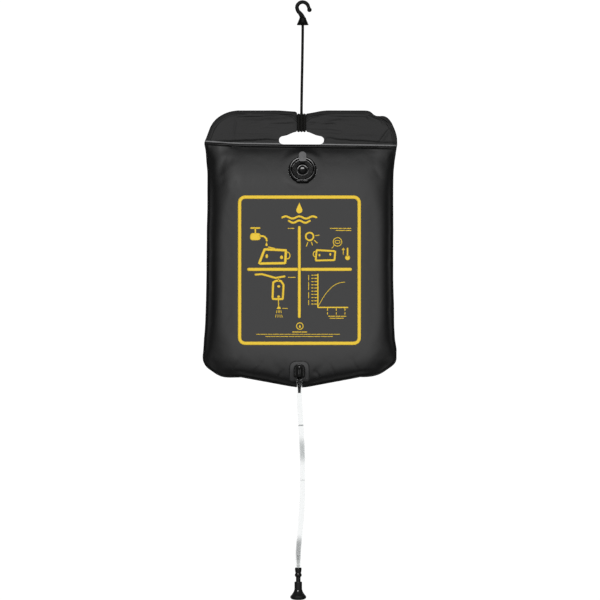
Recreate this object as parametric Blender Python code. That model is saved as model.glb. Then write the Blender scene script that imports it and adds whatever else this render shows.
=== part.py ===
"""Camp shower bag: a welded water bag that hangs from a hook by its cord, with a filler valve on
its front and a clear hose down to a shower head with a push-pull valve.

Metres, +Z up. The origin is the hook's seat, the inside of its crook at the top, where a branch or
a rail carries it. The bag faces -Y. Sizes that can be set by themselves come first, piece by piece.
"""

import math

import bmesh
import bpy
from mathutils import Matrix, Vector

# Gaps and cutters
CLEARANCE = 0.0003            # between pieces that touch on the real object
OVERRUN = 0.0020              # how far a cutter runs past the face that it cuts
JOIN = 0.0010                 # how deep two shapes of one piece run into each other

# Hook
HOOK_ROD = 0.0080             # thickness of the crook
HOOK_INNER_RADIUS = 0.0081
HOOK_BALL = 0.0097            # diameter of the tip
HOOK_HEIGHT = 0.0440          # seat to the skirt's lower edge
SKIRT_DIAMETER = 0.0244
SKIRT_HEIGHT = 0.0155         # waist to lower edge
WAIST_DIAMETER = 0.0118
SKIRT_WALL = 0.0020
SKIRT_LIP = 0.0012            # upright part of the skirt's lower edge
WEB_DROP = 0.0058             # skirt's lower edge up to the web
WEB_THICKNESS = 0.0020
HOOK_BOSS_RADIUS = 0.0076     # bulge over the knot
HOOK_BOSS_FORWARD = 0.0022
KNOT_WINDOW = 0.0090          # width of the opening behind the knot
WINDOW_SILL = 0.0005          # step at its lower and upper side
BALL_PLACE_SHARES = (1.155, -0.342)       # of the crook's centre-line radius, from its centre
# Shares of the centre-line radius, of the drop to the waist and of the way from rod to waist thickness
STEM_ROUTE_SHARES = (
    (-0.864, 0.255, 0.06), (-0.678, 0.407, 0.14), (-0.438, 0.559, 0.30),
    (-0.215, 0.740, 0.60), (-0.058, 0.956, 0.92),
)
TIP_THICKNESS_SHARE = 0.85    # of the rod, where it meets the ball
CROOK_START = math.radians(15)            # above level, where the crook's round leaves the ball

# Cord
CORD_DIAMETER = 0.0055
CORD_HOLE_PLAY = 0.0004       # round the cord in the hook's web
CORD_DROP = 0.1762            # hook's lower edge to the header's top edge
CORD_SHIFT = -0.0025          # the cord reaches the bag this far beside the hook's axis
KNOT_DIAMETER = 0.0106
KNOT_HEIGHT = 0.0056
KNOT_WAIST_SHARE = 0.86       # of the knot's radius, between its two turns
KNOT_END_SHARE = 0.62         # of the knot's radius, at its flat ends
KNOT_SHOULDER_SHARE = 0.80    # of the knot's height and radius, where the hook's chamber starts to close
# The free stretch's route: shares of its fall, of its way sideways and of its way forward
CORD_ROUTE_SHARES = (
    (0.00, 0.00, 0.00), (0.12, 0.00, 0.00), (0.40, 0.30, 0.25),
    (0.72, 0.75, 0.75), (0.94, 1.00, 1.00), (1.00, 1.00, 1.00),
)
HITCH_DROP = 0.0135           # header's top edge down to the band inside the hitch
HITCH_HEIGHT = 0.0249         # height of the band inside the hitch
HITCH_PLAY = 0.0006           # between neighbouring strands
HITCH_LEAD = 0.0072           # the middle strand begins this far above the band
HITCH_POINTS = 24             # points in one turn
HITCH_TAIL_SHARE = 0.55       # of the way up the back, where the cut end stops

# Bag
SHEET = 0.0006                # thickness of one PVC sheet
BAG_SHIFT = -0.0045           # the bag's middle beside the hook's axis
BAG_WIDTH = 0.3990            # flat, at the cross weld
DRAW_IN = 0.0086              # each side's loss of width where the chamber is full
EAR_SPREAD = 0.0014           # the bottom corners stand out this much further than the weld
HEADER_HEIGHT = 0.0705        # top edge to the cross weld
HEADER_CORNER = 0.0580        # radius
CROSS_WELD = 0.0060           # height of the weld strip
CHAMBER_HEIGHT = 0.4955       # cross weld to the lowest point
EDGE_WELD = 0.0040            # width of the weld round the edge
BOTTOM_CORNER = 0.0410        # radius
BOTTOM_POINT = 0.0200         # how far the bottom edge falls from its sides to its middle
BOTTOM_POINT_REACH = 0.1250   # from the middle to where the edge is level
POINT_ROUND_SHARE = 0.08      # of that reach, how blunt the point is
CHAMBER_DEPTH = 0.0360        # the fullest point of a sheet in front of the weld
SIDE_REACH = 0.0760           # how far inside its weld the chamber is full, at the side
TOP_REACH = 0.1080            # the same under the cross weld
BOTTOM_REACH = 0.0800         # and above the bottom weld
FULLNESS_POWER = 2.1
DIP_REACH = 0.0560            # how far from the cord the header's top edge starts to dip

# Hand slot
SLOT_WIDTH = 0.0940
SLOT_END_HEIGHT = 0.0170
SLOT_SILL = 0.0003            # slot's lower edge above the cross weld
SLOT_END_TURN = 70            # degrees past level, where the round end turns into the upper edge
SLOT_RISE_SHARES = (0.75, 0.50, 0.25)     # of the way from the slot's end to the cord

# Filler valve
FILLER_SHIFT = 0.0041         # beside the bag's middle
FILLER_DROP = 0.0475          # cross weld to the middle of the ring
RING_RADIUS = 0.0295
RING_RIM = 0.0069             # width of the rim
RING_HEIGHT = 0.0055          # above the sheet
RING_DEPTH = 0.0068           # below the sheet
RING_ROUND = 0.0016
SEAT_HEIGHT = 0.0010          # the lid's seat above the sheet
NECK_RADIUS = 0.0155          # bore
NECK_WALL = 0.0020
NECK_LENGTH = 0.0120          # below the sheet
FLANGE_WIDTH = 0.0060         # weld flange round the ring, inside the bag
FLANGE_THICKNESS = 0.0012
HINGE_BLOCK_WIDTH = 0.0250
HINGE_BLOCK_REACH = 0.0292    # middle of the ring to the block's lower side
HINGE_BLOCK_START_SHARE = 0.45            # of the ring's radius, below its middle, where the block starts
STRAP_WIDTH = 0.0064
STRAP_THICKNESS = 0.0010
STRAP_LAP = 0.0020            # length of the strap on the lid
CAP_HINGE_REACH = 0.0244      # middle of the ring to the hinge line

# Filler cap
LID_PLAY = 0.0004             # round the lid inside the rim
LID_THICKNESS = 0.0029
LID_ROUND = 0.0007
PLUG_PLAY = 0.0004            # round the plug in the neck
PLUG_DEPTH = 0.0060
PLUG_TAPER = 0.0009
PLUG_WALL = 0.0016
LID_WELL_RADIUS = 0.0128
LID_WELL_FLOOR = 0.0014       # thickness under the well
LID_DOME_RADIUS = 0.0089
LID_DOME_RISE = 0.0008        # above the lid's face
TAB_WIDTH = 0.0155
TAB_REACH = 0.0380            # middle of the ring to the tab's end
TAB_THICKNESS = 0.0016
TAB_ROOT_SHARE = 0.78         # of the lid's radius, where the tab leaves the lid
TAB_NECK_SHARE = 0.90         # of the tab's width, at its root
TAB_TIP_SHARE = 0.12          # of the tab's width, across its blunt end
DOME_POWER = 0.8              # under 1 makes the lid's dome steeper at its foot

# Outlet
OUTLET_SHIFT = -0.0024        # beside the bag's middle
OUTLET_RISE = 0.0350          # lowest point of the bag up to the inlet
PATCH_WIDTH = 0.0416
PATCH_ABOVE = 0.0180          # inlet up to the patch's top
PATCH_BELOW = 0.0235          # inlet down to the patch's lower edge
PATCH_THICKNESS = 0.0008
HOOD_WIDTH = 0.0234
HOOD_ABOVE = 0.0125
HOOD_BELOW = 0.0160
HOOD_PROUD = 0.0060           # its rim in front of the patch
ELBOW_RADIUS = 0.0074         # housing round the turn
ELBOW_STAND = 0.0060          # hose axis in front of the sheet at the inlet
ELBOW_FOOT_SHARE = 0.86       # of the housing's radius, at its lower edge
INLET_RADIUS = 0.0055
INLET_BORE = 0.0030
INLET_INSIDE = 0.0040         # length inside the bag
SPIGOT_LENGTH = 0.0320
SPIGOT_RADIUS = 0.0030
BARB_HEIGHT = 0.0005
BARB_PITCH = 0.0060
BARB_PEAK_SHARE = 0.125       # of the pitch, from a barb's start to its peak
BARB_FOOT_SHARE = 0.80        # of the pitch, to the foot of its slope
SPIGOT_BORE = 0.0018

# Hose
HOSE_DIAMETER = 0.0110
HOSE_BORE = 0.0078
HOSE_LENGTH = 0.3952
# A free hose's route from its upper to its lower end: sideways, and the share of the drop
HOSE_ROUTE = (
    (0.0000, 0.000), (0.0000, 0.045), (0.0000, 0.090), (0.0012, 0.165), (0.0032, 0.250), (0.0056, 0.364),
    (0.0066, 0.450), (0.0065, 0.560), (0.0058, 0.650), (0.0021, 0.790), (-0.0014, 0.880), (-0.0022, 0.915),
    (-0.0023, 0.940), (-0.0023, 1.000),
)
HEAD_SHIFT = -0.0023          # the head's axis beside the spigot's

# Valve stem and its hose tail
TAIL_LENGTH = 0.0280          # inside the hose
TAIL_SOCKET = 0.0060          # inside the stem
COLLAR_RADIUS = 0.0066
COLLAR_LENGTH = 0.0185
HOSE_POCKET = 0.0032          # depth of the pocket that takes the hose's end
RING_GROOVE = 0.0006          # depth of the groove between collar and ring
GROOVE_LENGTH = 0.0022
STOP_RING_RADIUS = 0.0069
STOP_RING_LENGTH = 0.0040
STEM_NECK_RADIUS = 0.0048
BELL_TRAVEL = 0.0040          # push to close
STEM_BORE = 0.0018
PISTON_RADIUS = 0.0060
PISTON_LENGTH = 0.0060
SEAL_THICKNESS = 0.0014
TIP_RADIUS = 0.0034
TIP_LENGTH = 0.0080
PORT_RADIUS = 0.0014

# Shower head
BELL_COLLAR = 0.0040          # thickness of the bell's upper end
BELL_RADIUS = 0.0078
BELL_LENGTH = 0.0153          # straight part
FLARE_LENGTH = 0.0144
FLARE_SHARES = (0.25, 0.50, 0.75, 1.00)   # of the flare's length, where its wall has points
FLARE_POWER = 1.5             # how late the flare opens
ROSE_RADIUS = 0.0165
ROSE_LIP = 0.0050
BELL_WALL = 0.0015
SEAT_WEB = 0.0020             # web whose hole the tip closes
PLATE_THICKNESS = 0.0016
PLATE_DOME = 0.0038
PLATE_TOP_SHARE = 0.90        # of the plate's radius, on its upper side
PLATE_SEAT = 0.0014           # width of the ledge that the plate sits against
SPRAY_HOLE = 0.0009           # radius
SPRAY_RINGS = ((0, 1), (1, 6), (2, 12))   # ring number and holes in it
SPRAY_SPREAD_SHARE = 0.72     # of the plate's radius, for the outermost ring

# How finely round and curved shapes are divided
ROUND_STEPS = 32
SMALL_ROUND_STEPS = 20
STEM_STEPS = 24
ARC_STEPS = 12
CORD_SPACING = 2.5            # diameters between a cord's points
HOSE_SPACING = 1.5
CROOK_STEPS = 9
SLOT_END_STEPS = 7
ARCH_STEPS = 8
DOME_STEPS = 6
HOUSING_STEPS = 5
PLATE_STEPS = 5
PORT_STEPS = 10
SEAL_STEPS = 8
HOLE_STEPS = 8
SHEET_COLUMNS = 22
CHAMBER_ROWS = 24
HEADER_ROWS = 6
END_CROWDING = 0.5            # 0 spaces the sheet's rows evenly, 1 crowds them at its edges

# Heights and places that follow from the sizes above
hook_radius = HOOK_INNER_RADIUS + HOOK_ROD / 2
crook_z = -HOOK_INNER_RADIUS
skirt_z = -HOOK_HEIGHT
waist_z = skirt_z + SKIRT_HEIGHT
web_z = skirt_z + WEB_DROP
knot_z = web_z + WEB_THICKNESS
cord_radius = CORD_DIAMETER / 2
header_z = skirt_z - CORD_DROP
weld_z = header_z - HEADER_HEIGHT
chamber_z = weld_z - CROSS_WELD
bottom_z = chamber_z - CHAMBER_HEIGHT
bag_half = BAG_WIDTH / 2
strand_pitch = CORD_DIAMETER + HITCH_PLAY
band_top_z = header_z - HITCH_DROP
band_foot_z = band_top_z - HITCH_HEIGHT
band_half = CLEARANCE / 2 + SHEET                 # half the thickness of the two sheets
strand_y = band_half + CLEARANCE + cord_radius    # a strand's middle beside the band
hitch_half = strand_pitch + cord_radius + CLEARANCE
dip = HITCH_DROP - CORD_DIAMETER - 2 * CLEARANCE
slot_foot_z = weld_z + SLOT_SILL
slot_end_z = slot_foot_z + SLOT_END_HEIGHT
slot_peak_z = band_foot_z - CORD_DIAMETER - 2 * CLEARANCE
outlet_z = bottom_z + OUTLET_RISE
outlet_x = BAG_SHIFT + OUTLET_SHIFT
filler_x = BAG_SHIFT + FILLER_SHIFT
filler_z = chamber_z - FILLER_DROP


def clear_scene():
    for old in list(bpy.data.objects):
        bpy.data.objects.remove(old, do_unlink=True)


def plastic(name, colour, roughness, alpha=1.0):
    """One Principled material with the part's own colour and roughness."""
    material = bpy.data.materials.new(name)
    material.use_nodes = True
    shader = material.node_tree.nodes["Principled BSDF"]
    shader.inputs["Base Color"].default_value = (*colour, 1.0)
    shader.inputs["Roughness"].default_value = roughness
    shader.inputs["Metallic"].default_value = 0.0
    shader.inputs["Alpha"].default_value = alpha
    material.diffuse_color = (*colour, alpha)
    return material


def link(name, data, material=None):
    made = bpy.data.objects.new(name, data)
    bpy.context.scene.collection.objects.link(made)
    if material is not None:
        made.data.materials.append(material)
    return made


def link_mesh(name, shape, material=None, sharp=math.radians(35)):
    """Turns a bmesh into a named object, faces outward, round sides shaded smooth."""
    bmesh.ops.recalc_face_normals(shape, faces=shape.faces)
    mesh = bpy.data.meshes.new(name)
    shape.to_mesh(mesh)
    shape.free()
    mesh.shade_smooth()
    mesh.set_sharp_from_angle(angle=sharp)
    return link(name, mesh, material)


def pivot(name, place, parent=None, turn=0.0):
    """An empty on a joint's axis, or in a fitting's own frame."""
    empty = link(name, None)
    empty.location = place
    empty.rotation_euler = (turn, 0.0, 0.0)
    empty.parent = parent
    bpy.context.view_layer.update()
    return empty


def hang(piece, parent):
    """Parents a finished piece, moves its origin to the parent's and leaves its shape in place."""
    bpy.context.view_layer.update()
    piece.data.transform(parent.matrix_world.inverted() @ piece.matrix_world)
    piece.parent = parent
    return piece


def seat(piece, parent):
    """Parents a piece that was modelled in the parent's own frame."""
    piece.parent = parent
    return piece


def boolean(target, tool, operation):
    """A live Boolean with a hidden helper."""
    modifier = target.modifiers.new(f"{operation.lower()} {tool.name}", "BOOLEAN")
    modifier.operation = operation
    modifier.solver = "EXACT"
    modifier.object = tool
    tool.hide_render = True
    tool.display_type = "WIRE"
    return target


def lathe(profile, steps=ROUND_STEPS):
    """Turns a closed outline of (radius, height) points round Z."""
    shape = bmesh.new()
    points = [shape.verts.new((radius, 0.0, height)) for radius, height in profile]
    edges = [shape.edges.new((a, b)) for a, b in zip(points, points[1:] + points[:1])]
    axis_edges = [e for e in edges if all(v.co.x == 0.0 for v in e.verts)]
    bmesh.ops.delete(shape, geom=axis_edges, context="EDGES")
    outline = shape.verts[:] + shape.edges[:]
    bmesh.ops.spin(shape, geom=outline, cent=(0, 0, 0), axis=(0, 0, 1), dvec=(0, 0, 0),
                   angle=math.tau, steps=steps, use_merge=True, use_duplicate=False)
    bmesh.ops.remove_doubles(shape, verts=shape.verts, dist=CLEARANCE / 100)
    return shape


def moved(shape, offset=(0, 0, 0), turn=0.0, axis="X"):
    """Turns a bmesh about one axis of its own frame, then moves it."""
    bmesh.ops.transform(shape, matrix=Matrix.Translation(offset) @ Matrix.Rotation(turn, 4, axis),
                        verts=shape.verts)
    return shape


def prism(outline, low, high):
    """An outline in a bmesh's XY plane, pulled up along Z from low to high."""
    shape = bmesh.new()
    face = shape.faces.new([shape.verts.new((x, y, low)) for x, y in outline])
    pulled = bmesh.ops.extrude_face_region(shape, geom=[face])
    tops = [item for item in pulled["geom"] if isinstance(item, bmesh.types.BMVert)]
    bmesh.ops.translate(shape, verts=tops, vec=(0, 0, high - low))
    return shape


def front_prism(outline, front, back):
    """The same for an outline seen from the front: (x, z) points, pulled from y front to y back."""
    return moved(prism(outline, -back, -front), turn=math.pi / 2)


def loft(sections):
    """Joins rings of points, each with as many points, and closes both ends."""
    shape = bmesh.new()
    rings = [[shape.verts.new(point) for point in section] for section in sections]
    for ring, following in zip(rings, rings[1:]):
        for i, corner in enumerate(ring):
            after = (i + 1) % len(ring)
            shape.faces.new((corner, ring[after], following[after], following[i]))
    shape.faces.new(rings[0])
    shape.faces.new(rings[-1])
    return shape


def arc(radius, start, end, steps, centre=(0.0, 0.0)):
    """Points on an arc, both ends included; angles in radians."""
    turns = [start + (end - start) * i / steps for i in range(steps + 1)]
    return [(centre[0] + radius * math.cos(t), centre[1] + radius * math.sin(t)) for t in turns]


def ring_outline(radius, steps, centre=(0.0, 0.0)):
    """A whole circle's points, none twice."""
    return arc(radius, 0.0, math.tau, steps, centre)[:-1]


def quarter_turns(steps):
    """Even angles from 0 to a quarter turn."""
    return [math.pi / 2 * i / steps for i in range(steps + 1)]


def smooth_through(route, spacing):
    """Reads points at this spacing from a smooth curve through a route's own points."""
    points = [Vector(point) for point in route]
    padded = [2 * points[0] - points[1]] + points + [2 * points[-1] - points[-2]]
    fine = []
    for before, a, b, after in zip(padded, padded[1:], padded[2:], padded[3:]):
        for i in range(SMALL_ROUND_STEPS):
            t = i / SMALL_ROUND_STEPS
            fine.append(0.5 * (2 * a + (b - before) * t + (2 * before - 5 * a + 4 * b - after) * t ** 2
                               + (3 * a - before - 3 * b + after) * t ** 3))
    fine.append(points[-1])
    walked = [0.0]
    for a, b in zip(fine, fine[1:]):
        walked.append(walked[-1] + (b - a).length)
    count = max(round(walked[-1] / spacing), 2)
    read = []
    for i in range(count + 1):
        goal = walked[-1] * i / count
        step = max(k for k in range(len(walked) - 1) if walked[k] <= goal)
        share = (goal - walked[step]) / (walked[step + 1] - walked[step])
        read.append(fine[step].lerp(fine[step + 1], min(share, 1.0)))
    return read


def tube(name, points, radius, sides, material=None, widths=None):
    """A round tube along points: a curve with a bevel and filled ends."""
    curve = bpy.data.curves.new(name, "CURVE")
    curve.dimensions = "3D"
    curve.bevel_depth = radius
    curve.bevel_resolution = sides
    curve.use_fill_caps = True
    line = curve.splines.new("POLY")
    line.points.add(len(points) - 1)
    for i, point in enumerate(points):
        line.points[i].co = (*point, 1.0)
        line.points[i].radius = 1.0 if widths is None else widths[i]
    return link(name, curve, material)


def tube_mesh(name, points, radius, sides, widths=None):
    """The same tube as a mesh, for shapes that a Boolean joins or cuts."""
    made = tube(name + "_line", points, radius, sides, widths=widths)
    bpy.context.view_layer.update()
    mesh = bpy.data.meshes.new_from_object(made.evaluated_get(bpy.context.evaluated_depsgraph_get()))
    bpy.data.objects.remove(made, do_unlink=True)
    shape = bmesh.new()
    shape.from_mesh(mesh)
    bpy.data.meshes.remove(mesh)
    bmesh.ops.remove_doubles(shape, verts=shape.verts, dist=CLEARANCE / 100)
    return link_mesh(name, shape)


def crowded(count):
    """Shares from 0 to 1, closer together at both ends."""
    even = [i / count for i in range(count + 1)]
    return [(1 - END_CROWDING) * s + END_CROWDING * (1 - math.cos(math.pi * s)) / 2 for s in even]


def lower_edge(across):
    """Height of the bag's bottom edge at this distance from its middle: a shallow, rounded point."""
    share = min(abs(across) / BOTTOM_POINT_REACH, 1.0)
    blunt = POINT_ROUND_SHARE
    rise = (math.hypot(share, blunt) - blunt) / (math.hypot(1.0, blunt) - blunt)
    return bottom_z + BOTTOM_POINT * rise


def upper_edge(across):
    """Height of the header's top edge: level, with a dip where the cord pulls it down."""
    share = min(abs(across + BAG_SHIFT - CORD_SHIFT) / DIP_REACH, 1.0)
    return header_z - dip * (1 + math.cos(math.pi * share)) / 2


def fullness(inside, reach):
    """0 at a weld, 1 where the chamber is as deep as it gets."""
    share = min(max(inside / reach, 0.0), 1.0)
    return 1 - (1 - share) ** FULLNESS_POWER


def chamber_half(across, z):
    """Half the chamber's width in the row through this place: drawn in where the bag is full."""
    edge = lower_edge(across)
    down = chamber_z - z
    up = max(z - edge, 0.0)
    full = fullness(down, TOP_REACH) * fullness(up - BOTTOM_CORNER, BOTTOM_REACH)
    half = bag_half + EAR_SPREAD * down / CHAMBER_HEIGHT - DRAW_IN * full
    if up < BOTTOM_CORNER:
        half -= BOTTOM_CORNER - math.sqrt(BOTTOM_CORNER ** 2 - (BOTTOM_CORNER - up) ** 2)
    return half


def chamber_depth(across, z):
    """How far a sheet stands from the weld plane, before its fittings flatten it."""
    side = fullness(chamber_half(across, z) - EDGE_WELD - abs(across), SIDE_REACH)
    top = fullness(chamber_z - z, TOP_REACH)
    bottom = fullness(z - lower_edge(across) - EDGE_WELD, BOTTOM_REACH)
    return CHAMBER_DEPTH * side * top * bottom


def slope_at(across, z):
    """How the depth changes sideways and upward."""
    step = CLEARANCE
    sideways = (chamber_depth(across + step, z) - chamber_depth(across - step, z)) / (2 * step)
    upward = (chamber_depth(across, z + step) - chamber_depth(across, z - step)) / (2 * step)
    return sideways, upward


filler_depth = chamber_depth(FILLER_SHIFT, filler_z)
filler_slope = slope_at(FILLER_SHIFT, filler_z)[1]
filler_tilt = -math.atan(filler_slope)
outlet_depth = chamber_depth(OUTLET_SHIFT, outlet_z)


def sheet_depth(across, z, front):
    """The chamber's depth, with the front sheet held flat where the stiff filler ring sits in it."""
    depth = chamber_depth(across, z)
    if not front:
        return depth
    away = math.hypot(across - FILLER_SHIFT, z - filler_z)
    if away >= FILLER_DROP:
        return depth
    share = min(max((FILLER_DROP - away) / (FILLER_DROP - RING_RADIUS), 0.0), 1.0)
    held = share * share * (3 - 2 * share)
    flat = filler_depth + filler_slope * (z - filler_z)
    return depth + (flat - depth) * held


def sheet_grid(front, lift=0.0, keep=None):
    """One sheet's inner surface as a grid, moved outward by lift; keep picks faces by their middle."""
    columns = crowded(SHEET_COLUMNS)
    places = []
    for i in range(HEADER_ROWS, 0, -1):
        turn = math.pi / 2 * i / HEADER_ROWS
        row = []
        drop = HEADER_CORNER * (1 - math.sin(turn))
        half = bag_half - HEADER_CORNER * (1 - math.cos(turn))
        for across in columns_with_weld(columns, half):
            top = upper_edge(across)
            z = top + (header_z - HEADER_CORNER - top) * drop / HEADER_CORNER
            row.append((across, z, 0.0))
        places.append(row)
    for z in (header_z - HEADER_CORNER, weld_z):
        places.append([(a, z, 0.0) for a in columns_with_weld(columns, bag_half)])
    for share in rows_with_weld(crowded(CHAMBER_ROWS)):
        row = []
        middle = chamber_z + (bottom_z - chamber_z) * share
        half = chamber_half(bag_half - BOTTOM_CORNER, edge_blend(bag_half - BOTTOM_CORNER, share))
        for across in columns_with_weld(columns, half):
            z = edge_blend(across, share)
            row.append((across, z, sheet_depth(across, z, front)))
        places.append(row)
    side = -1 if front else 1
    shape = bmesh.new()
    rows = [[shape.verts.new((BAG_SHIFT + a, side * (CLEARANCE / 2 + d), z)) for a, z, d in row]
            for row in places]
    for row, below in zip(rows, rows[1:]):
        for a, b, c, d in zip(row, row[1:], below[1:], below):
            shape.faces.new((a, b, c, d) if not front else (d, c, b, a))
    bmesh.ops.triangulate(shape, faces=shape.faces, quad_method="FIXED")
    shape.faces.ensure_lookup_table()
    shape.normal_update()
    if shape.faces[0].normal.y * side < 0:
        bmesh.ops.reverse_faces(shape, faces=shape.faces)
        shape.normal_update()
    if lift:
        for vertex in shape.verts:
            vertex.co += vertex.normal * lift
    if keep is not None:
        spare = [f for f in shape.faces if not keep(*f.calc_center_median())]
        bmesh.ops.delete(shape, geom=spare, context="FACES")
    return shape


def edge_blend(across, share):
    """Height of the row at this share of the way from the cross weld to the bottom edge."""
    return chamber_z + (lower_edge(across) - chamber_z) * share


def columns_with_weld(columns, half):
    """Places across one row: the edge, the inner side of its weld, then the chamber between."""
    inner = half - EDGE_WELD
    return [-half] + [inner * (2 * share - 1) for share in columns] + [half]


def rows_with_weld(rows):
    """Shares of the way down the chamber, the last two either side of the bottom weld."""
    inner = 1 - EDGE_WELD / CHAMBER_HEIGHT
    return [inner * share for share in rows] + [1.0]


def sheet_solid(name, front, lift, thickness, material=None, keep=None):
    """A sheet, or a piece of one, with its thickness on its outer side."""
    shape = sheet_grid(front, lift, keep)
    mesh = bpy.data.meshes.new(name)
    shape.to_mesh(mesh)
    shape.free()
    mesh.shade_smooth()
    made = link(name, mesh, material)
    wall = made.modifiers.new("thickness", "SOLIDIFY")
    wall.thickness = thickness
    wall.offset = 1.0
    wall.use_even_offset = True
    return made


def make_hook(material):
    """Crook, ball tip, stem and hollow skirt, moulded in one."""
    ball_x = BALL_PLACE_SHARES[0] * hook_radius
    ball_z = crook_z + BALL_PLACE_SHARES[1] * hook_radius
    drop = crook_z - waist_z
    rod = HOOK_ROD / 2
    waist = WAIST_DIAMETER / 2
    route = [(ball_x, 0.0, ball_z)]
    widths = [TIP_THICKNESS_SHARE]
    for x, z in arc(hook_radius, CROOK_START, math.pi, CROOK_STEPS, (0.0, crook_z)):
        route.append((x, 0.0, z))
        widths.append(min(TIP_THICKNESS_SHARE + (hook_radius - x) / hook_radius, 1.0))
    for across, down, thick in STEM_ROUTE_SHARES:
        route.append((across * hook_radius, 0.0, crook_z - down * drop))
        widths.append(1 + thick * (waist - rod) / rod)
    route.append((0.0, 0.0, waist_z - JOIN))
    widths.append(waist / rod)
    hook = tube_mesh("hanging_hook", route, rod, 4, widths)

    ball = bmesh.new()
    bmesh.ops.create_uvsphere(ball, u_segments=16, v_segments=10, radius=HOOK_BALL / 2)
    boolean(hook, link_mesh("hook_ball", moved(ball, (ball_x, 0.0, ball_z))), "UNION")

    base = SKIRT_DIAMETER / 2
    cone = (base - waist) / SKIRT_HEIGHT
    hollow = base - SKIRT_WALL - cone * WEB_DROP
    skirt = lathe([
        (0.0, waist_z), (waist + CLEARANCE, waist_z), (base, skirt_z + SKIRT_LIP), (base, skirt_z),
        (0.0, skirt_z),
    ])
    boolean(hook, link_mesh("hook_skirt", skirt), "UNION")
    boss = bmesh.new()
    bmesh.ops.create_uvsphere(boss, u_segments=24, v_segments=14, radius=HOOK_BOSS_RADIUS)
    knot_middle = knot_z + KNOT_HEIGHT / 2
    boss_z = max(knot_middle, web_z + HOOK_BOSS_RADIUS - WEB_THICKNESS)
    boolean(hook, link_mesh("hook_boss", moved(boss, (0.0, -HOOK_BOSS_FORWARD, boss_z))), "UNION")
    mouth = base - SKIRT_WALL
    below = skirt_z - OVERRUN
    inside = lathe([(0.0, below), (mouth, below), (mouth, skirt_z), (hollow, web_z), (0.0, web_z)])
    boolean(hook, link_mesh("skirt_inside", inside), "DIFFERENCE")

    room = KNOT_DIAMETER / 2 + CLEARANCE
    knot_top = knot_z + KNOT_HEIGHT + 2 * CLEARANCE
    shoulder = knot_z + KNOT_HEIGHT * KNOT_SHOULDER_SHARE
    chamber = lathe([
        (0.0, knot_z), (room, knot_z), (room, shoulder), (room * KNOT_SHOULDER_SHARE, knot_top),
        (0.0, knot_top),
    ], SMALL_ROUND_STEPS)
    boolean(hook, link_mesh("knot_chamber", chamber), "DIFFERENCE")
    hole = cord_radius + CORD_HOLE_PLAY
    bore = lathe([
        (0.0, web_z - OVERRUN), (hole, web_z - OVERRUN), (hole, knot_z + JOIN), (0.0, knot_z + JOIN),
    ], SMALL_ROUND_STEPS)
    boolean(hook, link_mesh("cord_hole", bore), "DIFFERENCE")
    half = KNOT_WINDOW / 2
    sill = knot_z + WINDOW_SILL
    head = knot_top - WINDOW_SILL
    window = front_prism([
        (-half, sill), (half, sill), (half, knot_middle), (half / 2, head), (-half / 2, head),
        (-half, knot_middle),
    ], 0.0, base + OVERRUN)
    boolean(hook, link_mesh("knot_window", window), "DIFFERENCE")
    top = web_z - hole
    arch = [(-hole, below), (hole, below)] + arc(hole, 0.0, math.pi, ARCH_STEPS, (0.0, top))
    boolean(hook, link_mesh("cord_arch", front_prism(arch, -base - OVERRUN, 0.0)), "DIFFERENCE")
    hook.data.materials.append(material)
    return hook


def make_stop_knot(material):
    """The end knot, a squat lump with the cut end on top."""
    low = knot_z + CLEARANCE
    high = low + KNOT_HEIGHT - CLEARANCE
    radius = KNOT_DIAMETER / 2
    waist = radius * KNOT_WAIST_SHARE
    end = radius * KNOT_END_SHARE
    middle = (low + high) / 2
    rise = (high - low) / 2
    outline = [
        (0.0, low), (end, low), (radius, low + rise / 2), (waist, middle), (radius, high - rise / 2),
        (end, high), (0.0, high),
    ]
    return link_mesh("stop_knot", lathe(outline, SMALL_ROUND_STEPS), material)


def make_cord(material):
    """The free stretch, from the knot's underside through the web to the top of the hitch."""
    start = knot_z
    end = band_top_z + HITCH_LEAD + CLEARANCE
    fall = start - end
    route = []
    for down, across, forward in CORD_ROUTE_SHARES:
        route.append((CORD_SHIFT * across, -strand_y * forward, start - fall * down))
    spacing = CORD_SPACING * CORD_DIAMETER
    return tube("hanging_cord", smooth_through(route, spacing), cord_radius, 2, material)


def hitch_points():
    """The winding: down the middle in front, left, then right, each turn round the band's edges."""
    shifts = (0.0, -strand_pitch, strand_pitch)
    backs = (strand_y, strand_y + strand_pitch, strand_y)
    points = [(CORD_SHIFT, -strand_y, band_top_z + HITCH_LEAD)]
    quarter = HITCH_POINTS // 4
    for turn, (shift, back) in enumerate(zip(shifts, backs)):
        following = shifts[min(turn + 1, len(shifts) - 1)]
        last = turn == len(shifts) - 1
        half = (strand_y + back) / 2
        for i in range(quarter + 1):
            z = band_top_z - HITCH_HEIGHT * i / quarter
            points.append((CORD_SHIFT + shift, -strand_y, z))
        for i in range(1, quarter):
            angle = math.pi * i / quarter
            points.append((CORD_SHIFT + shift, half - strand_y - half * math.cos(angle),
                           band_foot_z - strand_y * math.sin(angle)))
        for i in range(quarter + 1):
            share = i / quarter
            if last and share > HITCH_TAIL_SHARE:
                break
            eased = share * share * (3 - 2 * share)
            x = CORD_SHIFT + shift + (following - shift) * eased
            points.append((x, back, band_foot_z + HITCH_HEIGHT * share))
        if not last:
            for i in range(1, quarter):
                angle = math.pi * i / quarter
                points.append((CORD_SHIFT + following, half - strand_y + half * math.cos(angle),
                               band_top_z + strand_y * math.sin(angle)))
    return points


def least_gap(points, diameter):
    """The smallest gap between two stretches of one winding that aren't neighbours along it."""
    skip = HITCH_POINTS // 3
    fine = []
    for a, b in zip(points, points[1:]):
        fine += [Vector(a).lerp(Vector(b), i / 4) for i in range(4)]
    gaps = [(a - b).length for i, a in enumerate(fine) for b in fine[i + 4 * skip:]]
    return min(gaps) - diameter


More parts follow.
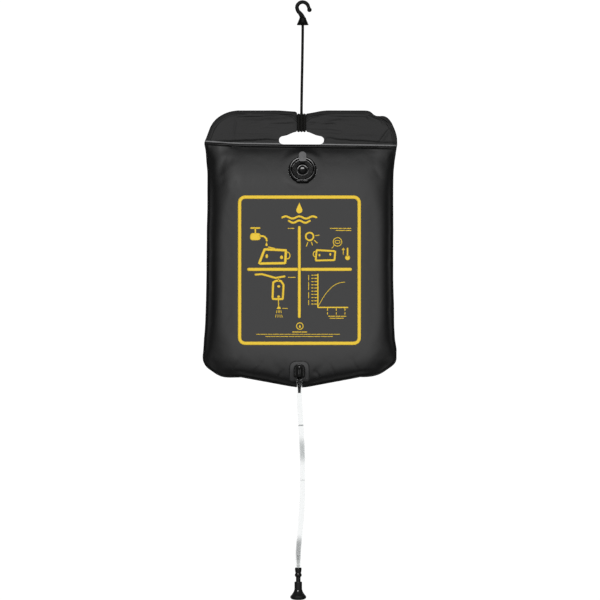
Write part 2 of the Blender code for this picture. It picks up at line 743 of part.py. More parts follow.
def make_hitch(material):
    points = hitch_points()
    print(f"cord_hitch: least gap to itself {1000 * least_gap(points, CORD_DIAMETER):.2f} mm")
    return tube("cord_hitch", points, cord_radius, 1, material)


def slot_outline():
    """The hand slot from the front, with its upper edge drawn up where the cord holds the band."""
    half = SLOT_WIDTH / 2
    end = SLOT_END_HEIGHT / 2
    middle = slot_foot_z + end
    lean = math.radians(SLOT_END_TURN)
    quarter = math.pi / 2
    outline = arc(end, -quarter, lean, SLOT_END_STEPS, (CORD_SHIFT + half - end, middle))
    reach = half - end - hitch_half
    right = []
    for share in SLOT_RISE_SHARES:
        rise = (1 + math.cos(math.pi * share)) / 2
        right.append((hitch_half + reach * share, slot_end_z + (slot_peak_z - slot_end_z) * rise))
    right += [(hitch_half + CLEARANCE, slot_peak_z), (hitch_half, band_foot_z)]
    outline += [(CORD_SHIFT + x, z) for x, z in right]
    outline += [(CORD_SHIFT - x, z) for x, z in reversed(right)]
    left = (CORD_SHIFT - half + end, middle)
    outline += arc(end, math.pi - lean, math.pi + quarter, SLOT_END_STEPS, left)
    return outline


def notch_outline():
    """The bite that the hitch takes out of the header's top edge."""
    top = header_z + OVERRUN
    return [(CORD_SHIFT - hitch_half, band_top_z), (CORD_SHIFT + hitch_half, band_top_z),
            (CORD_SHIFT + hitch_half + CLEARANCE, top), (CORD_SHIFT - hitch_half - CLEARANCE, top)]


def filler_outline(margin):
    """The ring from above, round with a straight-sided hinge block at its lower side."""
    radius = RING_RADIUS + margin
    leave = math.asin(HINGE_BLOCK_START_SHARE)
    half = HINGE_BLOCK_WIDTH / 2 + margin
    foot = -HINGE_BLOCK_REACH - margin
    return arc(radius, -leave, math.pi + leave, ROUND_STEPS) + [(-half, foot), (half, foot)]


def arch_outline(width, above, below, middle_z):
    """A patch with an upright lower part and a round top, seen from the front."""
    half = width / 2
    centre = (outlet_x, middle_z + above - half)
    return ([(outlet_x - half, middle_z - below), (outlet_x + half, middle_z - below)]
            + arc(half, 0.0, math.pi, ARC_STEPS, centre))


def make_panels(material, filler_frame):
    """Front and back sheet, each with its half of the chamber and its leaf of the header."""
    panels = []
    reach = CHAMBER_DEPTH + OVERRUN
    for name, front in (("front_panel", True), ("back_panel", False)):
        panel = sheet_solid(name, front, 0.0, SHEET, material)
        slot = link_mesh(name + "_slot", front_prism(slot_outline(), -reach, reach))
        notch = link_mesh(name + "_notch", front_prism(notch_outline(), -reach, reach))
        boolean(panel, slot, "DIFFERENCE")
        boolean(panel, notch, "DIFFERENCE")
        panels.append(panel)
    through = prism(filler_outline(CLEARANCE), -2 * RING_DEPTH, 2 * RING_HEIGHT)
    hole = link_mesh("filler_hole", through)
    boolean(panels[0], seat(hole, filler_frame), "DIFFERENCE")
    boolean(panels[0], outlet_hole("outlet_sheet_hole"), "DIFFERENCE")
    return panels


def outlet_hole(name):
    """The round hole for the inlet, through sheet and patch."""
    ring = ring_outline(INLET_RADIUS + CLEARANCE, SMALL_ROUND_STEPS, (outlet_x, outlet_z))
    return link_mesh(name, front_prism(ring, -2 * CHAMBER_DEPTH, 0.0))


def by_the_outlet(x, y, z):
    """The part of the front sheet that the patch and the elbow's back are cut from."""
    return abs(x - outlet_x) < 2 * PATCH_WIDTH and abs(z - outlet_z) < 3 * PATCH_WIDTH


def make_filler_neck(material, frame):
    """Ring with hinge block, lid seat and neck, and the weld flange that lies behind the front sheet."""
    shape = prism(filler_outline(0.0), -RING_DEPTH, RING_HEIGHT)
    rim = [e for e in shape.edges if all(v.co.z > 0 for v in e.verts)]
    bmesh.ops.bevel(shape, geom=rim, offset=RING_ROUND, segments=3, profile=0.5, affect="EDGES")
    neck = seat(link_mesh("filler_neck", shape, material), frame)

    wall = NECK_RADIUS + NECK_WALL
    root = -RING_DEPTH + JOIN
    tail = lathe([(0.0, -NECK_LENGTH), (wall, -NECK_LENGTH), (wall, root), (0.0, root)])
    boolean(neck, seat(link_mesh("neck_tail", tail), frame), "UNION")
    boolean(neck, weld_flange(frame), "UNION")

    pocket_radius = RING_RADIUS - RING_RIM
    lean = RING_ROUND / 2
    above = RING_HEIGHT + OVERRUN
    pocket = lathe([
        (0.0, SEAT_HEIGHT), (pocket_radius, SEAT_HEIGHT), (pocket_radius, RING_HEIGHT - lean),
        (pocket_radius + lean, RING_HEIGHT), (pocket_radius + lean, above), (0.0, above),
    ])
    boolean(neck, seat(link_mesh("lid_pocket", pocket), frame), "DIFFERENCE")
    bore = lathe([(0.0, -NECK_LENGTH - OVERRUN), (NECK_RADIUS, -NECK_LENGTH - OVERRUN),
                  (NECK_RADIUS, SEAT_HEIGHT + JOIN), (0.0, SEAT_HEIGHT + JOIN)])
    boolean(neck, seat(link_mesh("neck_bore", bore), frame), "DIFFERENCE")
    half = STRAP_WIDTH / 2 + CLEARANCE
    notch = prism([(-half, -HINGE_BLOCK_REACH - OVERRUN), (half, -HINGE_BLOCK_REACH - OVERRUN),
                   (half, -pocket_radius + OVERRUN), (-half, -pocket_radius + OVERRUN)],
                  strap_floor(), above)
    boolean(neck, seat(link_mesh("strap_notch", notch), frame), "DIFFERENCE")
    return neck


def weld_flange(frame):
    """The flange's shape, a round piece cut from the front sheet's own surface, a little further in."""
    reach = RING_RADIUS + FLANGE_WIDTH

    def near(x, y, z):
        return math.hypot(x - filler_x, z - filler_z) < 2 * reach

    lift = -CLEARANCE - FLANGE_THICKNESS
    flange = sheet_solid("weld_flange", True, lift, FLANGE_THICKNESS, keep=near)
    disc = prism(ring_outline(reach, ROUND_STEPS), -4 * RING_DEPTH, RING_HEIGHT)
    return boolean(flange, seat(link_mesh("flange_disc", disc), frame), "INTERSECT")


def strap_floor():
    """Floor of the strap's notch in the ring, level with the lid's face."""
    return SEAT_HEIGHT + CLEARANCE + LID_THICKNESS


def make_cap(material, frame):
    """Lid with a plug skirt below, a dome in a well on top and a pull tab over the rim."""
    low = SEAT_HEIGHT + CLEARANCE
    face = low + LID_THICKNESS
    lid = RING_RADIUS - RING_RIM - LID_PLAY
    plug = NECK_RADIUS - PLUG_PLAY
    well = low + LID_WELL_FLOOR / 2
    under = low - LID_WELL_FLOOR / 2
    deep = low - PLUG_DEPTH
    dome_top = face + LID_DOME_RISE
    turns = quarter_turns(DOME_STEPS)
    dome = [(LID_DOME_RADIUS * math.cos(t), well + (dome_top - well) * math.sin(t) ** DOME_POWER)
            for t in turns]
    dome[-1] = (0.0, dome_top)
    profile = [
        (0.0, under), (plug - PLUG_WALL, under), (plug - PLUG_TAPER - PLUG_WALL, deep),
        (plug - PLUG_TAPER, deep), (plug, low), (lid, low), (lid, face - LID_ROUND),
        (lid - LID_ROUND, face), (LID_WELL_RADIUS + LID_ROUND, face),
        (LID_WELL_RADIUS, face - LID_ROUND), (LID_WELL_RADIUS, well),
    ] + dome
    cap = seat(link_mesh("filler_cap", lathe(profile), material), frame)

    root = lid * TAB_ROOT_SHARE
    over = RING_HEIGHT + CLEARANCE
    top = over + TAB_THICKNESS
    half = TAB_WIDTH / 2
    edge = math.sqrt(lid ** 2 - half ** 2)
    bend = (root + edge) / 2
    sunk = face - JOIN
    sections = [
        (root, half * TAB_NECK_SHARE, sunk, face + CLEARANCE), (bend, half, sunk, top - TAB_THICKNESS / 3),
        (edge - LID_ROUND, half, sunk, top), (edge, half, over, top),
    ]
    for turn in turns:
        width = max(half * math.cos(turn), half * TAB_TIP_SHARE)
        sections.append((TAB_REACH - half + half * math.sin(turn), width, over, top))
    rings = [[(-w, y, a), (w, y, a), (w, y, b), (-w, y, b)] for y, w, a, b in sections]
    return boolean(cap, seat(link_mesh("pull_tab", loft(rings)), frame), "UNION")


def make_strap(material, frame):
    """The living hinge: lapped on the lid's face, over the ring's notch, down to the hinge block."""
    low = strap_floor() + CLEARANCE
    high = low + STRAP_THICKNESS
    lid = RING_RADIUS - RING_RIM - LID_PLAY
    half = STRAP_WIDTH / 2
    stations = (-HINGE_BLOCK_REACH, -CAP_HINGE_REACH, -lid + STRAP_LAP)
    rings = [[(-half, y, low), (half, y, low), (half, y, high), (-half, y, high)] for y in stations]
    return seat(link_mesh("cap_strap", loft(rings), material), frame)


def make_patch(material):
    """The arched patch, which follows the front sheet."""
    lift = SHEET + CLEARANCE
    patch = sheet_solid("outlet_patch", True, lift, PATCH_THICKNESS, material, by_the_outlet)
    outline = arch_outline(PATCH_WIDTH, PATCH_ABOVE, PATCH_BELOW, outlet_z)
    cutter = link_mesh("patch_outline", front_prism(outline, -2 * CHAMBER_DEPTH, 0.0))
    boolean(patch, cutter, "INTERSECT")
    boolean(patch, outlet_hole("outlet_patch_hole"), "DIFFERENCE")
    return patch


hose_y = -(outlet_depth + SHEET + ELBOW_STAND)
elbow_foot_z = outlet_z - HOOD_BELOW
hose_top_z = elbow_foot_z - CLEARANCE
spigot_end_z = elbow_foot_z - SPIGOT_LENGTH
hose_foot_z = hose_top_z - HOSE_LENGTH
head_x = outlet_x + HEAD_SHIFT
bore_half = HOSE_BORE / 2


def barbed(length, core, barb, bore, base):
    """Outline of a barbed hose nipple that points down from height 0, with base above it."""
    outline = [(bore, base), (core, base)]
    count = int((length - BARB_PITCH) / BARB_PITCH)
    for i in range(count):
        top = -BARB_PITCH * (i + 1)
        peak = top - BARB_PITCH * BARB_PEAK_SHARE
        outline += [(core, top), (barb, peak), (core, top - BARB_PITCH * BARB_FOOT_SHARE)]
    outline += [(core, -length + BARB_HEIGHT), (core - BARB_HEIGHT, -length), (bore, -length)]
    return outline


def make_elbow(material):
    """Hood over the inlet, housing of the turn and barbed spigot; its back follows the patch."""
    outline = arch_outline(HOOD_WIDTH, HOOD_ABOVE, HOOD_BELOW, outlet_z)
    face = -(outlet_depth + SHEET + PATCH_THICKNESS + HOOD_PROUD)
    behind = face + HOOD_PROUD + HOOD_WIDTH / 2
    shape = front_prism(outline, face, behind)
    rim = [e for e in shape.edges if all(v.co.y < behind - JOIN for v in e.verts)]
    bmesh.ops.bevel(shape, geom=rim, offset=HOOD_PROUD / 3, segments=3, profile=0.5, affect="EDGES")
    elbow = link_mesh("outlet_elbow", shape, material)
    housing_top = outlet_z + HOOD_ABOVE / 2
    turn = [(ELBOW_RADIUS * math.cos(t), outlet_z + (housing_top - outlet_z) * math.sin(t))
            for t in quarter_turns(HOUSING_STEPS)[:-1]]
    housing = lathe([
        (0.0, elbow_foot_z), (ELBOW_RADIUS * ELBOW_FOOT_SHARE, elbow_foot_z),
        (ELBOW_RADIUS, elbow_foot_z + JOIN),
    ] + turn + [(0.0, housing_top)], STEM_STEPS)
    boolean(elbow, link_mesh("elbow_housing", moved(housing, (outlet_x, hose_y, 0.0))), "UNION")

    behind_hood = HOOD_WIDTH + SHEET + PATCH_THICKNESS + 2 * CLEARANCE
    back = sheet_solid("patch_back", True, -HOOD_WIDTH, behind_hood, keep=by_the_outlet)
    boolean(elbow, back, "DIFFERENCE")
    inside = -(outlet_depth - INLET_INSIDE)
    ring = ring_outline(INLET_RADIUS, SMALL_ROUND_STEPS, (outlet_x, outlet_z))
    boolean(elbow, link_mesh("inlet", front_prism(ring, hose_y, inside)), "UNION")
    barb = SPIGOT_RADIUS + BARB_HEIGHT
    nipple = lathe(barbed(SPIGOT_LENGTH, SPIGOT_RADIUS, barb, 0.0, JOIN), SMALL_ROUND_STEPS)
    boolean(elbow, link_mesh("spigot", moved(nipple, (outlet_x, hose_y, elbow_foot_z))), "UNION")
    bore = ring_outline(INLET_BORE, SMALL_ROUND_STEPS, (outlet_x, outlet_z))
    boolean(elbow, link_mesh("inlet_bore", front_prism(bore, hose_y, inside + OVERRUN)), "DIFFERENCE")
    foot = spigot_end_z - OVERRUN
    down = lathe([(0.0, foot), (SPIGOT_BORE, foot), (SPIGOT_BORE, outlet_z), (0.0, outlet_z)],
                 SMALL_ROUND_STEPS)
    boolean(elbow, link_mesh("spigot_bore", moved(down, (outlet_x, hose_y, 0.0))), "DIFFERENCE")
    return elbow


def make_hose(material):
    """A clear hose with its bore, hanging in a slight bow."""
    route = [(outlet_x + x, hose_y, hose_top_z - share * HOSE_LENGTH) for x, share in HOSE_ROUTE]
    points = smooth_through(route, HOSE_SPACING * HOSE_DIAMETER)
    hose = tube_mesh("hose", points, HOSE_DIAMETER / 2, 4)
    above = points[0] + Vector((0, 0, OVERRUN))
    below = points[-1] - Vector((0, 0, OVERRUN))
    boolean(hose, tube_mesh("hose_bore", [above] + points[1:-1] + [below], bore_half, 4), "DIFFERENCE")
    hose.data.materials.append(material)
    return hose


def make_hose_tail(material):
    """The pale insert: barbed in the hose, plain in the stem's socket."""
    core = SPIGOT_RADIUS
    outline = barbed(TAIL_LENGTH, core, core + BARB_HEIGHT, SPIGOT_BORE, TAIL_SOCKET)
    shape = lathe(outline, SMALL_ROUND_STEPS)
    moved(shape, turn=math.pi)
    return link_mesh("hose_tail", moved(shape, (head_x, hose_y, hose_foot_z)), material)


pocket_foot_z = hose_foot_z - CLEARANCE
collar_top_z = pocket_foot_z + HOSE_POCKET
collar_foot_z = collar_top_z - COLLAR_LENGTH
stop_top_z = collar_foot_z - GROOVE_LENGTH
stop_foot_z = stop_top_z - STOP_RING_LENGTH
bell_top_z = stop_foot_z - BELL_TRAVEL - CLEARANCE
ledge_z = bell_top_z - BELL_COLLAR
piston_top_z = ledge_z - CLEARANCE
piston_foot_z = piston_top_z - PISTON_LENGTH
tip_z = piston_foot_z - TIP_LENGTH
seal_z = (piston_top_z + piston_foot_z) / 2
seat_top_z = tip_z - CLEARANCE
flare_z = bell_top_z - BELL_LENGTH
lip_z = flare_z - FLARE_LENGTH
bell_foot_z = lip_z - ROSE_LIP
piston_room = PISTON_RADIUS + CLEARANCE
seal_middle = PISTON_RADIUS - SEAL_THICKNESS / 2 + CLEARANCE / 3
seal_root = seal_middle - SEAL_THICKNESS / 2 - CLEARANCE
seal_half = SEAL_THICKNESS / 2 + CLEARANCE


def make_stem(material):
    """Collar, stop ring, neck, piston with the seal's groove, and closed tip with side ports."""
    pocket = HOSE_DIAMETER / 2 + CLEARANCE
    socket = SPIGOT_RADIUS + CLEARANCE
    socket_z = pocket_foot_z - TAIL_SOCKET
    outline = [
        (STEM_BORE, socket_z), (socket, socket_z), (socket, pocket_foot_z), (pocket, pocket_foot_z),
        (pocket, collar_top_z), (COLLAR_RADIUS, collar_top_z), (COLLAR_RADIUS, collar_foot_z),
        (COLLAR_RADIUS - RING_GROOVE, collar_foot_z), (COLLAR_RADIUS - RING_GROOVE, stop_top_z),
        (STOP_RING_RADIUS, stop_top_z), (STOP_RING_RADIUS, stop_foot_z), (STEM_NECK_RADIUS, stop_foot_z),
        (STEM_NECK_RADIUS, piston_top_z), (PISTON_RADIUS, piston_top_z),
        (PISTON_RADIUS, seal_z + seal_half), (seal_root, seal_z + seal_half),
        (seal_root, seal_z - seal_half), (PISTON_RADIUS, seal_z - seal_half),
        (PISTON_RADIUS, piston_foot_z), (TIP_RADIUS, piston_foot_z), (TIP_RADIUS, tip_z + BARB_HEIGHT),
        (TIP_RADIUS - BARB_HEIGHT, tip_z), (0.0, tip_z), (0.0, piston_foot_z - 3 * PORT_RADIUS),
        (STEM_BORE, piston_foot_z - 3 * PORT_RADIUS),
    ]
    stem = link_mesh("valve_stem", moved(lathe(outline, STEM_STEPS), (head_x, hose_y, 0.0)), material)
    port_z = piston_foot_z - 2 * PORT_RADIUS
    ring = ring_outline(PORT_RADIUS, PORT_STEPS, (head_x, port_z))
    reach = TIP_RADIUS + OVERRUN
    ports = link_mesh("stem_ports", front_prism(ring, hose_y - reach, hose_y + reach))
    boolean(stem, ports, "DIFFERENCE")
    return stem


def make_seal(material):
    ring = ring_outline(SEAL_THICKNESS / 2, SEAL_STEPS, (seal_middle, seal_z))
    return link_mesh("stem_seal", moved(lathe(ring, STEM_STEPS), (head_x, hose_y, 0.0)), material)


def make_bell(material):
    """Bell that slides on the stem: collar, room for the piston, seat web, flare and mouth."""
    guide = STEM_NECK_RADIUS + CLEARANCE
    seat_hole = TIP_RADIUS + CLEARANCE
    web_foot = seat_top_z - SEAT_WEB
    plate = plate_radius() + CLEARANCE
    ledge = plate - PLATE_SEAT
    plate_top = bell_foot_z + PLATE_THICKNESS + CLEARANCE
    outer = [(BELL_RADIUS, bell_top_z - JOIN), (BELL_RADIUS, flare_z)]
    inner = [(seat_hole, web_foot)]
    throat = seat_hole + BELL_WALL
    for share in FLARE_SHARES:
        swell = (ROSE_RADIUS - BELL_RADIUS) * share ** FLARE_POWER
        outer.append((BELL_RADIUS + swell, flare_z - FLARE_LENGTH * share))
        fall = (web_foot - plate_top - BELL_WALL) * share
        inner.append((throat + (ledge - throat) * share, web_foot - fall))
    inner += [(ledge, plate_top), (plate, plate_top), (plate, bell_foot_z)]
    top = [(guide, bell_top_z), (BELL_RADIUS - JOIN, bell_top_z)]
    mouth = [(ROSE_RADIUS, bell_foot_z + JOIN), (ROSE_RADIUS - JOIN, bell_foot_z)]
    room = [(seat_hole, seat_top_z), (piston_room, seat_top_z), (piston_room, ledge_z), (guide, ledge_z)]
    outline = top + outer + mouth + inner[::-1] + room
    return link_mesh("rose_bell", moved(lathe(outline), (head_x, hose_y, 0.0)), material)


def plate_radius():
    return ROSE_RADIUS - BELL_WALL


def make_plate(material):
    """The spray plate: a shallow dome with rings of holes."""
    radius = plate_radius()
    top = bell_foot_z + PLATE_THICKNESS
    turns = quarter_turns(PLATE_STEPS)
    inner = radius * PLATE_TOP_SHARE
    under = [(radius * math.cos(t), bell_foot_z - PLATE_DOME * math.sin(t)) for t in turns]
    upper = [(inner * math.cos(t), top - PLATE_DOME * math.sin(t)) for t in reversed(turns)]
    under[-1] = (0.0, bell_foot_z - PLATE_DOME)
    upper[0] = (0.0, top - PLATE_DOME)
    outline = [(radius, top)] + under + upper
    plate = link_mesh("rose_plate", moved(lathe(outline), (head_x, hose_y, 0.0)), material)
    holes = bmesh.new()
    ring_step = radius * SPRAY_SPREAD_SHARE / SPRAY_RINGS[-1][0]
    for ring, count in SPRAY_RINGS:
        for i in range(count):
            turn = math.tau * i / count
            out = ring * ring_step
            place = (head_x + out * math.cos(turn), hose_y + out * math.sin(turn), bell_foot_z)
            bmesh.ops.create_cone(holes, cap_ends=True, segments=HOLE_STEPS, radius1=SPRAY_HOLE,
                                  radius2=SPRAY_HOLE, depth=4 * PLATE_DOME,
                                  matrix=Matrix.Translation(place))
    boolean(plate, link_mesh("spray_holes", holes), "DIFFERENCE")
    return plate


def main():
    clear_scene()
    black = plastic("black_plastic", (0.012, 0.012, 0.013), 0.28)
    braid = plastic("black_cord", (0.018, 0.018, 0.018), 0.85)
    sheet = plastic("grey_pvc", (0.070, 0.070, 0.071), 0.45)
    valve = plastic("valve_pvc", (0.022, 0.022, 0.023), 0.32)
    clear = plastic("clear_pvc", (0.86, 0.88, 0.88), 0.12, 0.35)
    pale = plastic("pale_plastic", (0.70, 0.71, 0.70), 0.40)
    rubber = plastic("seal_rubber", (0.010, 0.010, 0.010), 0.60)

    swivel = pivot("hook_swivel", (0.0, 0.0, knot_z))
    filler_place = (filler_x, -(CLEARANCE / 2 + filler_depth + SHEET), filler_z)
    filler_frame = pivot("filler_frame", filler_place, turn=math.pi / 2 - filler_tilt)
    hinge_place = (0.0, -CAP_HINGE_REACH, strap_floor() + CLEARANCE + STRAP_THICKNESS / 2)
    cap_hinge = pivot("cap_hinge", hinge_place, filler_frame)
    hose_swing = pivot("hose_swing", (outlet_x, hose_y, spigot_end_z))
    rose_slide = pivot("rose_slide", (head_x, hose_y, bell_top_z))

    make_hook(black)
    hang(make_stop_knot(braid), swivel)
    hang(make_cord(braid), swivel)
    hang(make_hitch(braid), swivel)
    for panel in make_panels(sheet, filler_frame):
        hang(panel, swivel)
    make_filler_neck(valve, filler_frame)
    make_strap(valve, filler_frame)
    hang(make_cap(valve, filler_frame), cap_hinge)
    make_patch(sheet)
    make_elbow(valve)
    for piece in (make_hose(clear), make_hose_tail(pale), make_stem(black), make_seal(rubber)):
        hang(piece, hose_swing)
    for piece in (make_bell(black), make_plate(black)):
        hang(piece, rose_slide)
    bpy.context.view_layer.update()


main()
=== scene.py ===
# %% [markdown]
# # A camp shower bag, dressed for its photograph
# The real thing is two sheets of dark PVC film, welded together round the edge and filled with
# water. It hangs from a plastic hook by a braided cord. A round filler valve sits at the top of its
# front, an elbow at the bottom feeds a clear hose, and a push-pull shower head ends the hose.
# The CAD frame gives every piece its place. This lesson gives each piece its look.

# %% Load the frame
import math

import bmesh
import bpy
import numpy as np
from mathutils import Matrix, Vector, geometry, noise
from mathutils.bvhtree import BVHTree


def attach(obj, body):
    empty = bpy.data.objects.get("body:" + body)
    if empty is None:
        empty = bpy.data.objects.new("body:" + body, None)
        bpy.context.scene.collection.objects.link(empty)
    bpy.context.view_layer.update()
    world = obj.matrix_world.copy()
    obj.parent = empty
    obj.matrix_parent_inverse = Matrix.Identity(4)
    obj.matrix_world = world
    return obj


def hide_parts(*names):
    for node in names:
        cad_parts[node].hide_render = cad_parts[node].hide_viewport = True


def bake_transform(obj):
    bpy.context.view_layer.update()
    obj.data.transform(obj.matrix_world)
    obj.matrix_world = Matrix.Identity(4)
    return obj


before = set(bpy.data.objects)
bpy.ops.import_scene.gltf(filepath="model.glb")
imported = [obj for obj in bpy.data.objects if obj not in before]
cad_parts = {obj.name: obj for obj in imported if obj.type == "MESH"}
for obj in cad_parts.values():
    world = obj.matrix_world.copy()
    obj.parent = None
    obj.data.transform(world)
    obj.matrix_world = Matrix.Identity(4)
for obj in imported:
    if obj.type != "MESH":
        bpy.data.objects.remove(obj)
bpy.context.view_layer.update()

# %% [markdown]
# ## Camera
# The photograph was taken from straight ahead with a long lens, so the bag's outline is nearly a
# flat drawing. One pixel of its frame is 2.07 mm of bag, and the hook touches the upper edge of the
# frame as the shower head touches the lower one. A very long lens from eighteen metres gives that.

# %% Camera
FRAME_PIXELS = 600
PIXEL = 0.00207                       # metres of bag in one pixel of the frame
VIEW_CENTRE = Vector((-0.0056, 0.0, -0.6129))
CAMERA_DISTANCE = 18.0

camera_data = bpy.data.cameras.new("camera")
camera_data.sensor_width = 36.0
camera_data.lens = camera_data.sensor_width * CAMERA_DISTANCE / (FRAME_PIXELS * PIXEL)
camera = bpy.data.objects.new("camera", camera_data)
bpy.context.scene.collection.objects.link(camera)
camera.location = VIEW_CENTRE - Vector((0.0, CAMERA_DISTANCE, 0.0))
camera.rotation_euler = (math.radians(90), 0.0, 0.0)
bpy.context.scene.camera = camera
print(f"camera: {camera_data.lens:.0f} mm lens")

# %% [markdown]
# ## Cords first
# A cord is a fixed length of something flexible, so its path is settled before its surface. The
# black cord is pulled straight by the bag's weight. The hose is free below its spigot and hangs in
# the slight bow that it took on the roll. Each path repeats the points that the CAD source follows,
# and a tube is swept along it: rings of points at right angles to the path, with a UV map that runs
# round and along the cord in metres, so that a braid keeps its size.

# %% Sweep a tube along a path
STEPS_BETWEEN = 20           # fine points between two points of a route


def smooth_path(route, spacing):
    """Points at this spacing on a smooth curve through a route's own points."""
    points = [Vector(point) for point in route]
    padded = [2 * points[0] - points[1]] + points + [2 * points[-1] - points[-2]]
    fine = []
    for before, a, b, after in zip(padded, padded[1:], padded[2:], padded[3:]):
        for i in range(STEPS_BETWEEN):
            t = i / STEPS_BETWEEN
            fine.append(0.5 * (2 * a + (b - before) * t + (2 * before - 5 * a + 4 * b - after) * t ** 2
                               + (3 * a - before - 3 * b + after) * t ** 3))
    fine.append(points[-1])
    walked = np.concatenate([[0.0], np.cumsum([(b - a).length for a, b in zip(fine, fine[1:])])])
    goals = np.linspace(0.0, walked[-1], max(round(walked[-1] / spacing), 2) + 1)
    coords = np.array(fine)
    return [Vector([float(np.interp(goal, walked, coords[:, axis])) for axis in range(3)]) for goal in goals]


def path_length(points):
    return sum((b - a).length for a, b in zip(points, points[1:]))


def sweep(name, points, radius, sides=16, bore=0.0):
    """A tube mesh of one radius along points. With a bore it is a pipe."""
    tangents = [(points[min(i + 1, len(points) - 1)] - points[max(i - 1, 0)]).normalized()
                for i in range(len(points))]
    side = tangents[0].orthogonal().normalized()
    mesh = bmesh.new()
    uv = mesh.loops.layers.uv.new("UVMap")
    walked = 0.0
    shells = [[], []]
    along = []
    for i, (point, tangent) in enumerate(zip(points, tangents)):
        if i:
            walked += (point - points[i - 1]).length
            side = (side - tangent * side.dot(tangent)).normalized()
        up = tangent.cross(side)
        along.append(walked)
        for shell, size in ((0, radius), (1, bore)):
            ring = []
            for k in range(sides):
                turn = math.tau * k / sides
                offset = side * math.cos(turn) + up * math.sin(turn)
                ring.append(mesh.verts.new(point + offset * size))
            shells[shell].append(ring)
            if not bore:
                break

    def wall(rings, flip):
        for i in range(len(rings) - 1):
            for k in range(sides):
                corners = [(i, k), (i, k + 1), (i + 1, k + 1), (i + 1, k)]
                if flip:
                    corners.reverse()
                face = mesh.faces.new([rings[a][b % sides] for a, b in corners])
                face.smooth = True
                for loop, (a, b) in zip(face.loops, corners):
                    loop[uv].uv = (b / sides, along[a])

    wall(shells[0], True)
    if bore:
        wall(shells[1], False)
        for end in (0, -1):
            outer, inner = shells[0][end], shells[1][end]
            for k in range(sides):
                corners = [outer[k], outer[(k + 1) % sides], inner[(k + 1) % sides], inner[k]]
                mesh.faces.new(corners if end == 0 else corners[::-1])
    else:
        mesh.faces.new(shells[0][0])
        mesh.faces.new(shells[0][-1][::-1])
    bmesh.ops.recalc_face_normals(mesh, faces=mesh.faces)
    data = bpy.data.meshes.new(name)
    mesh.to_mesh(data)
    mesh.free()
    made = bpy.data.objects.new(name, data)
    bpy.context.scene.collection.objects.link(made)
    return made


# %% The hanging cord and its hitch
CORD_DIAMETER = 0.0055
CORD_RADIUS = CORD_DIAMETER / 2
CORD_TOP_Z = -0.0362
BAND_TOP_Z, BAND_FOOT_Z = -0.2337, -0.2586      # the header's band above the hand slot
STRAND_Y, STRAND_PITCH = 0.0038, 0.0061
CORD_X = -0.0025
HITCH_TOP_Z = BAND_TOP_Z + 0.0072
WOUND_RADIUS = CORD_RADIUS * 1.16               # wound strands are pressed a little wider
TAIL_SHARE = 0.55                               # how far up the band the cord's tail ends

cord_fall = CORD_TOP_Z - HITCH_TOP_Z
cord_route = [
    (0.0, 0.0, CORD_TOP_Z), (0.0, 0.0, CORD_TOP_Z - cord_fall * 0.12),
    (CORD_X * 0.3, -STRAND_Y * 0.25, CORD_TOP_Z - cord_fall * 0.40),
    (CORD_X * 0.75, -STRAND_Y * 0.75, CORD_TOP_Z - cord_fall * 0.72),
    (CORD_X, -STRAND_Y, HITCH_TOP_Z + cord_fall * 0.06), (CORD_X, -STRAND_Y, HITCH_TOP_Z),
]
cord_points = smooth_path(cord_route, 0.004)
hanging_cord = sweep("cord_stretch", cord_points, CORD_RADIUS)
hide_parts("hanging_cord")
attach(hanging_cord, "bag")


def eased(share):
    """A share from 0 to 1 with a soft start and a soft end."""
    return share * share * (3 - 2 * share)


def hitch_route(steps=6):
    """The winding's points: down in front in the middle, left, then right, each turn round the band."""
    shifts = (0.0, -STRAND_PITCH, STRAND_PITCH)
    backs = (STRAND_Y, STRAND_Y + STRAND_PITCH, STRAND_Y)
    height = BAND_TOP_Z - BAND_FOOT_Z
    points = [(CORD_X, -STRAND_Y, HITCH_TOP_Z)]
    for turn, (shift, back) in enumerate(zip(shifts, backs)):
        following = shifts[min(turn + 1, 2)]
        half = (STRAND_Y + back) / 2
        for i in range(steps + 1):
            points.append((CORD_X + shift, -STRAND_Y, BAND_TOP_Z - height * i / steps))
        for i in range(1, steps):
            angle = math.pi * i / steps
            points.append((CORD_X + shift, half - STRAND_Y - half * math.cos(angle),
                           BAND_FOOT_Z - STRAND_Y * math.sin(angle)))
        for i in range(steps + 1):
            share = i / steps
            if turn == 2 and share > TAIL_SHARE:
                break
            points.append((CORD_X + shift + (following - shift) * eased(share), back,
                           BAND_FOOT_Z + height * share))
        if turn < 2:
            for i in range(1, steps):
                angle = math.pi * i / steps
                points.append((CORD_X + following, half - STRAND_Y + half * math.cos(angle),
                               BAND_TOP_Z + STRAND_Y * math.sin(angle)))
    return points


hitch = sweep("cord_hitch_winding", smooth_path(hitch_route(), 0.0015), WOUND_RADIUS)
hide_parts("cord_hitch")
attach(hitch, "bag")

# %% The stop knot
KNOT_MIDDLE_Z, KNOT_SIZE, KNOT_DEPTH, KNOT_STRAND = -0.03325, 0.00104, 0.0007, 0.0019
KNOT_STEPS = 96
knot_points = []
for i in range(KNOT_STEPS + 1):
    turn = math.tau * i / KNOT_STEPS
    knot_points.append(Vector((KNOT_SIZE * (math.sin(turn) + 2 * math.sin(2 * turn)),
                               KNOT_SIZE * (math.cos(turn) - 2 * math.cos(2 * turn)),
                               KNOT_MIDDLE_Z - KNOT_DEPTH * math.sin(3 * turn))))
stop_knot = sweep("cord_stop_knot", knot_points, KNOT_STRAND, sides=14)
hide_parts("stop_knot")
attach(stop_knot, "bag")
print(f"hanging cord: {1000 * path_length(cord_points):.0f} mm free")

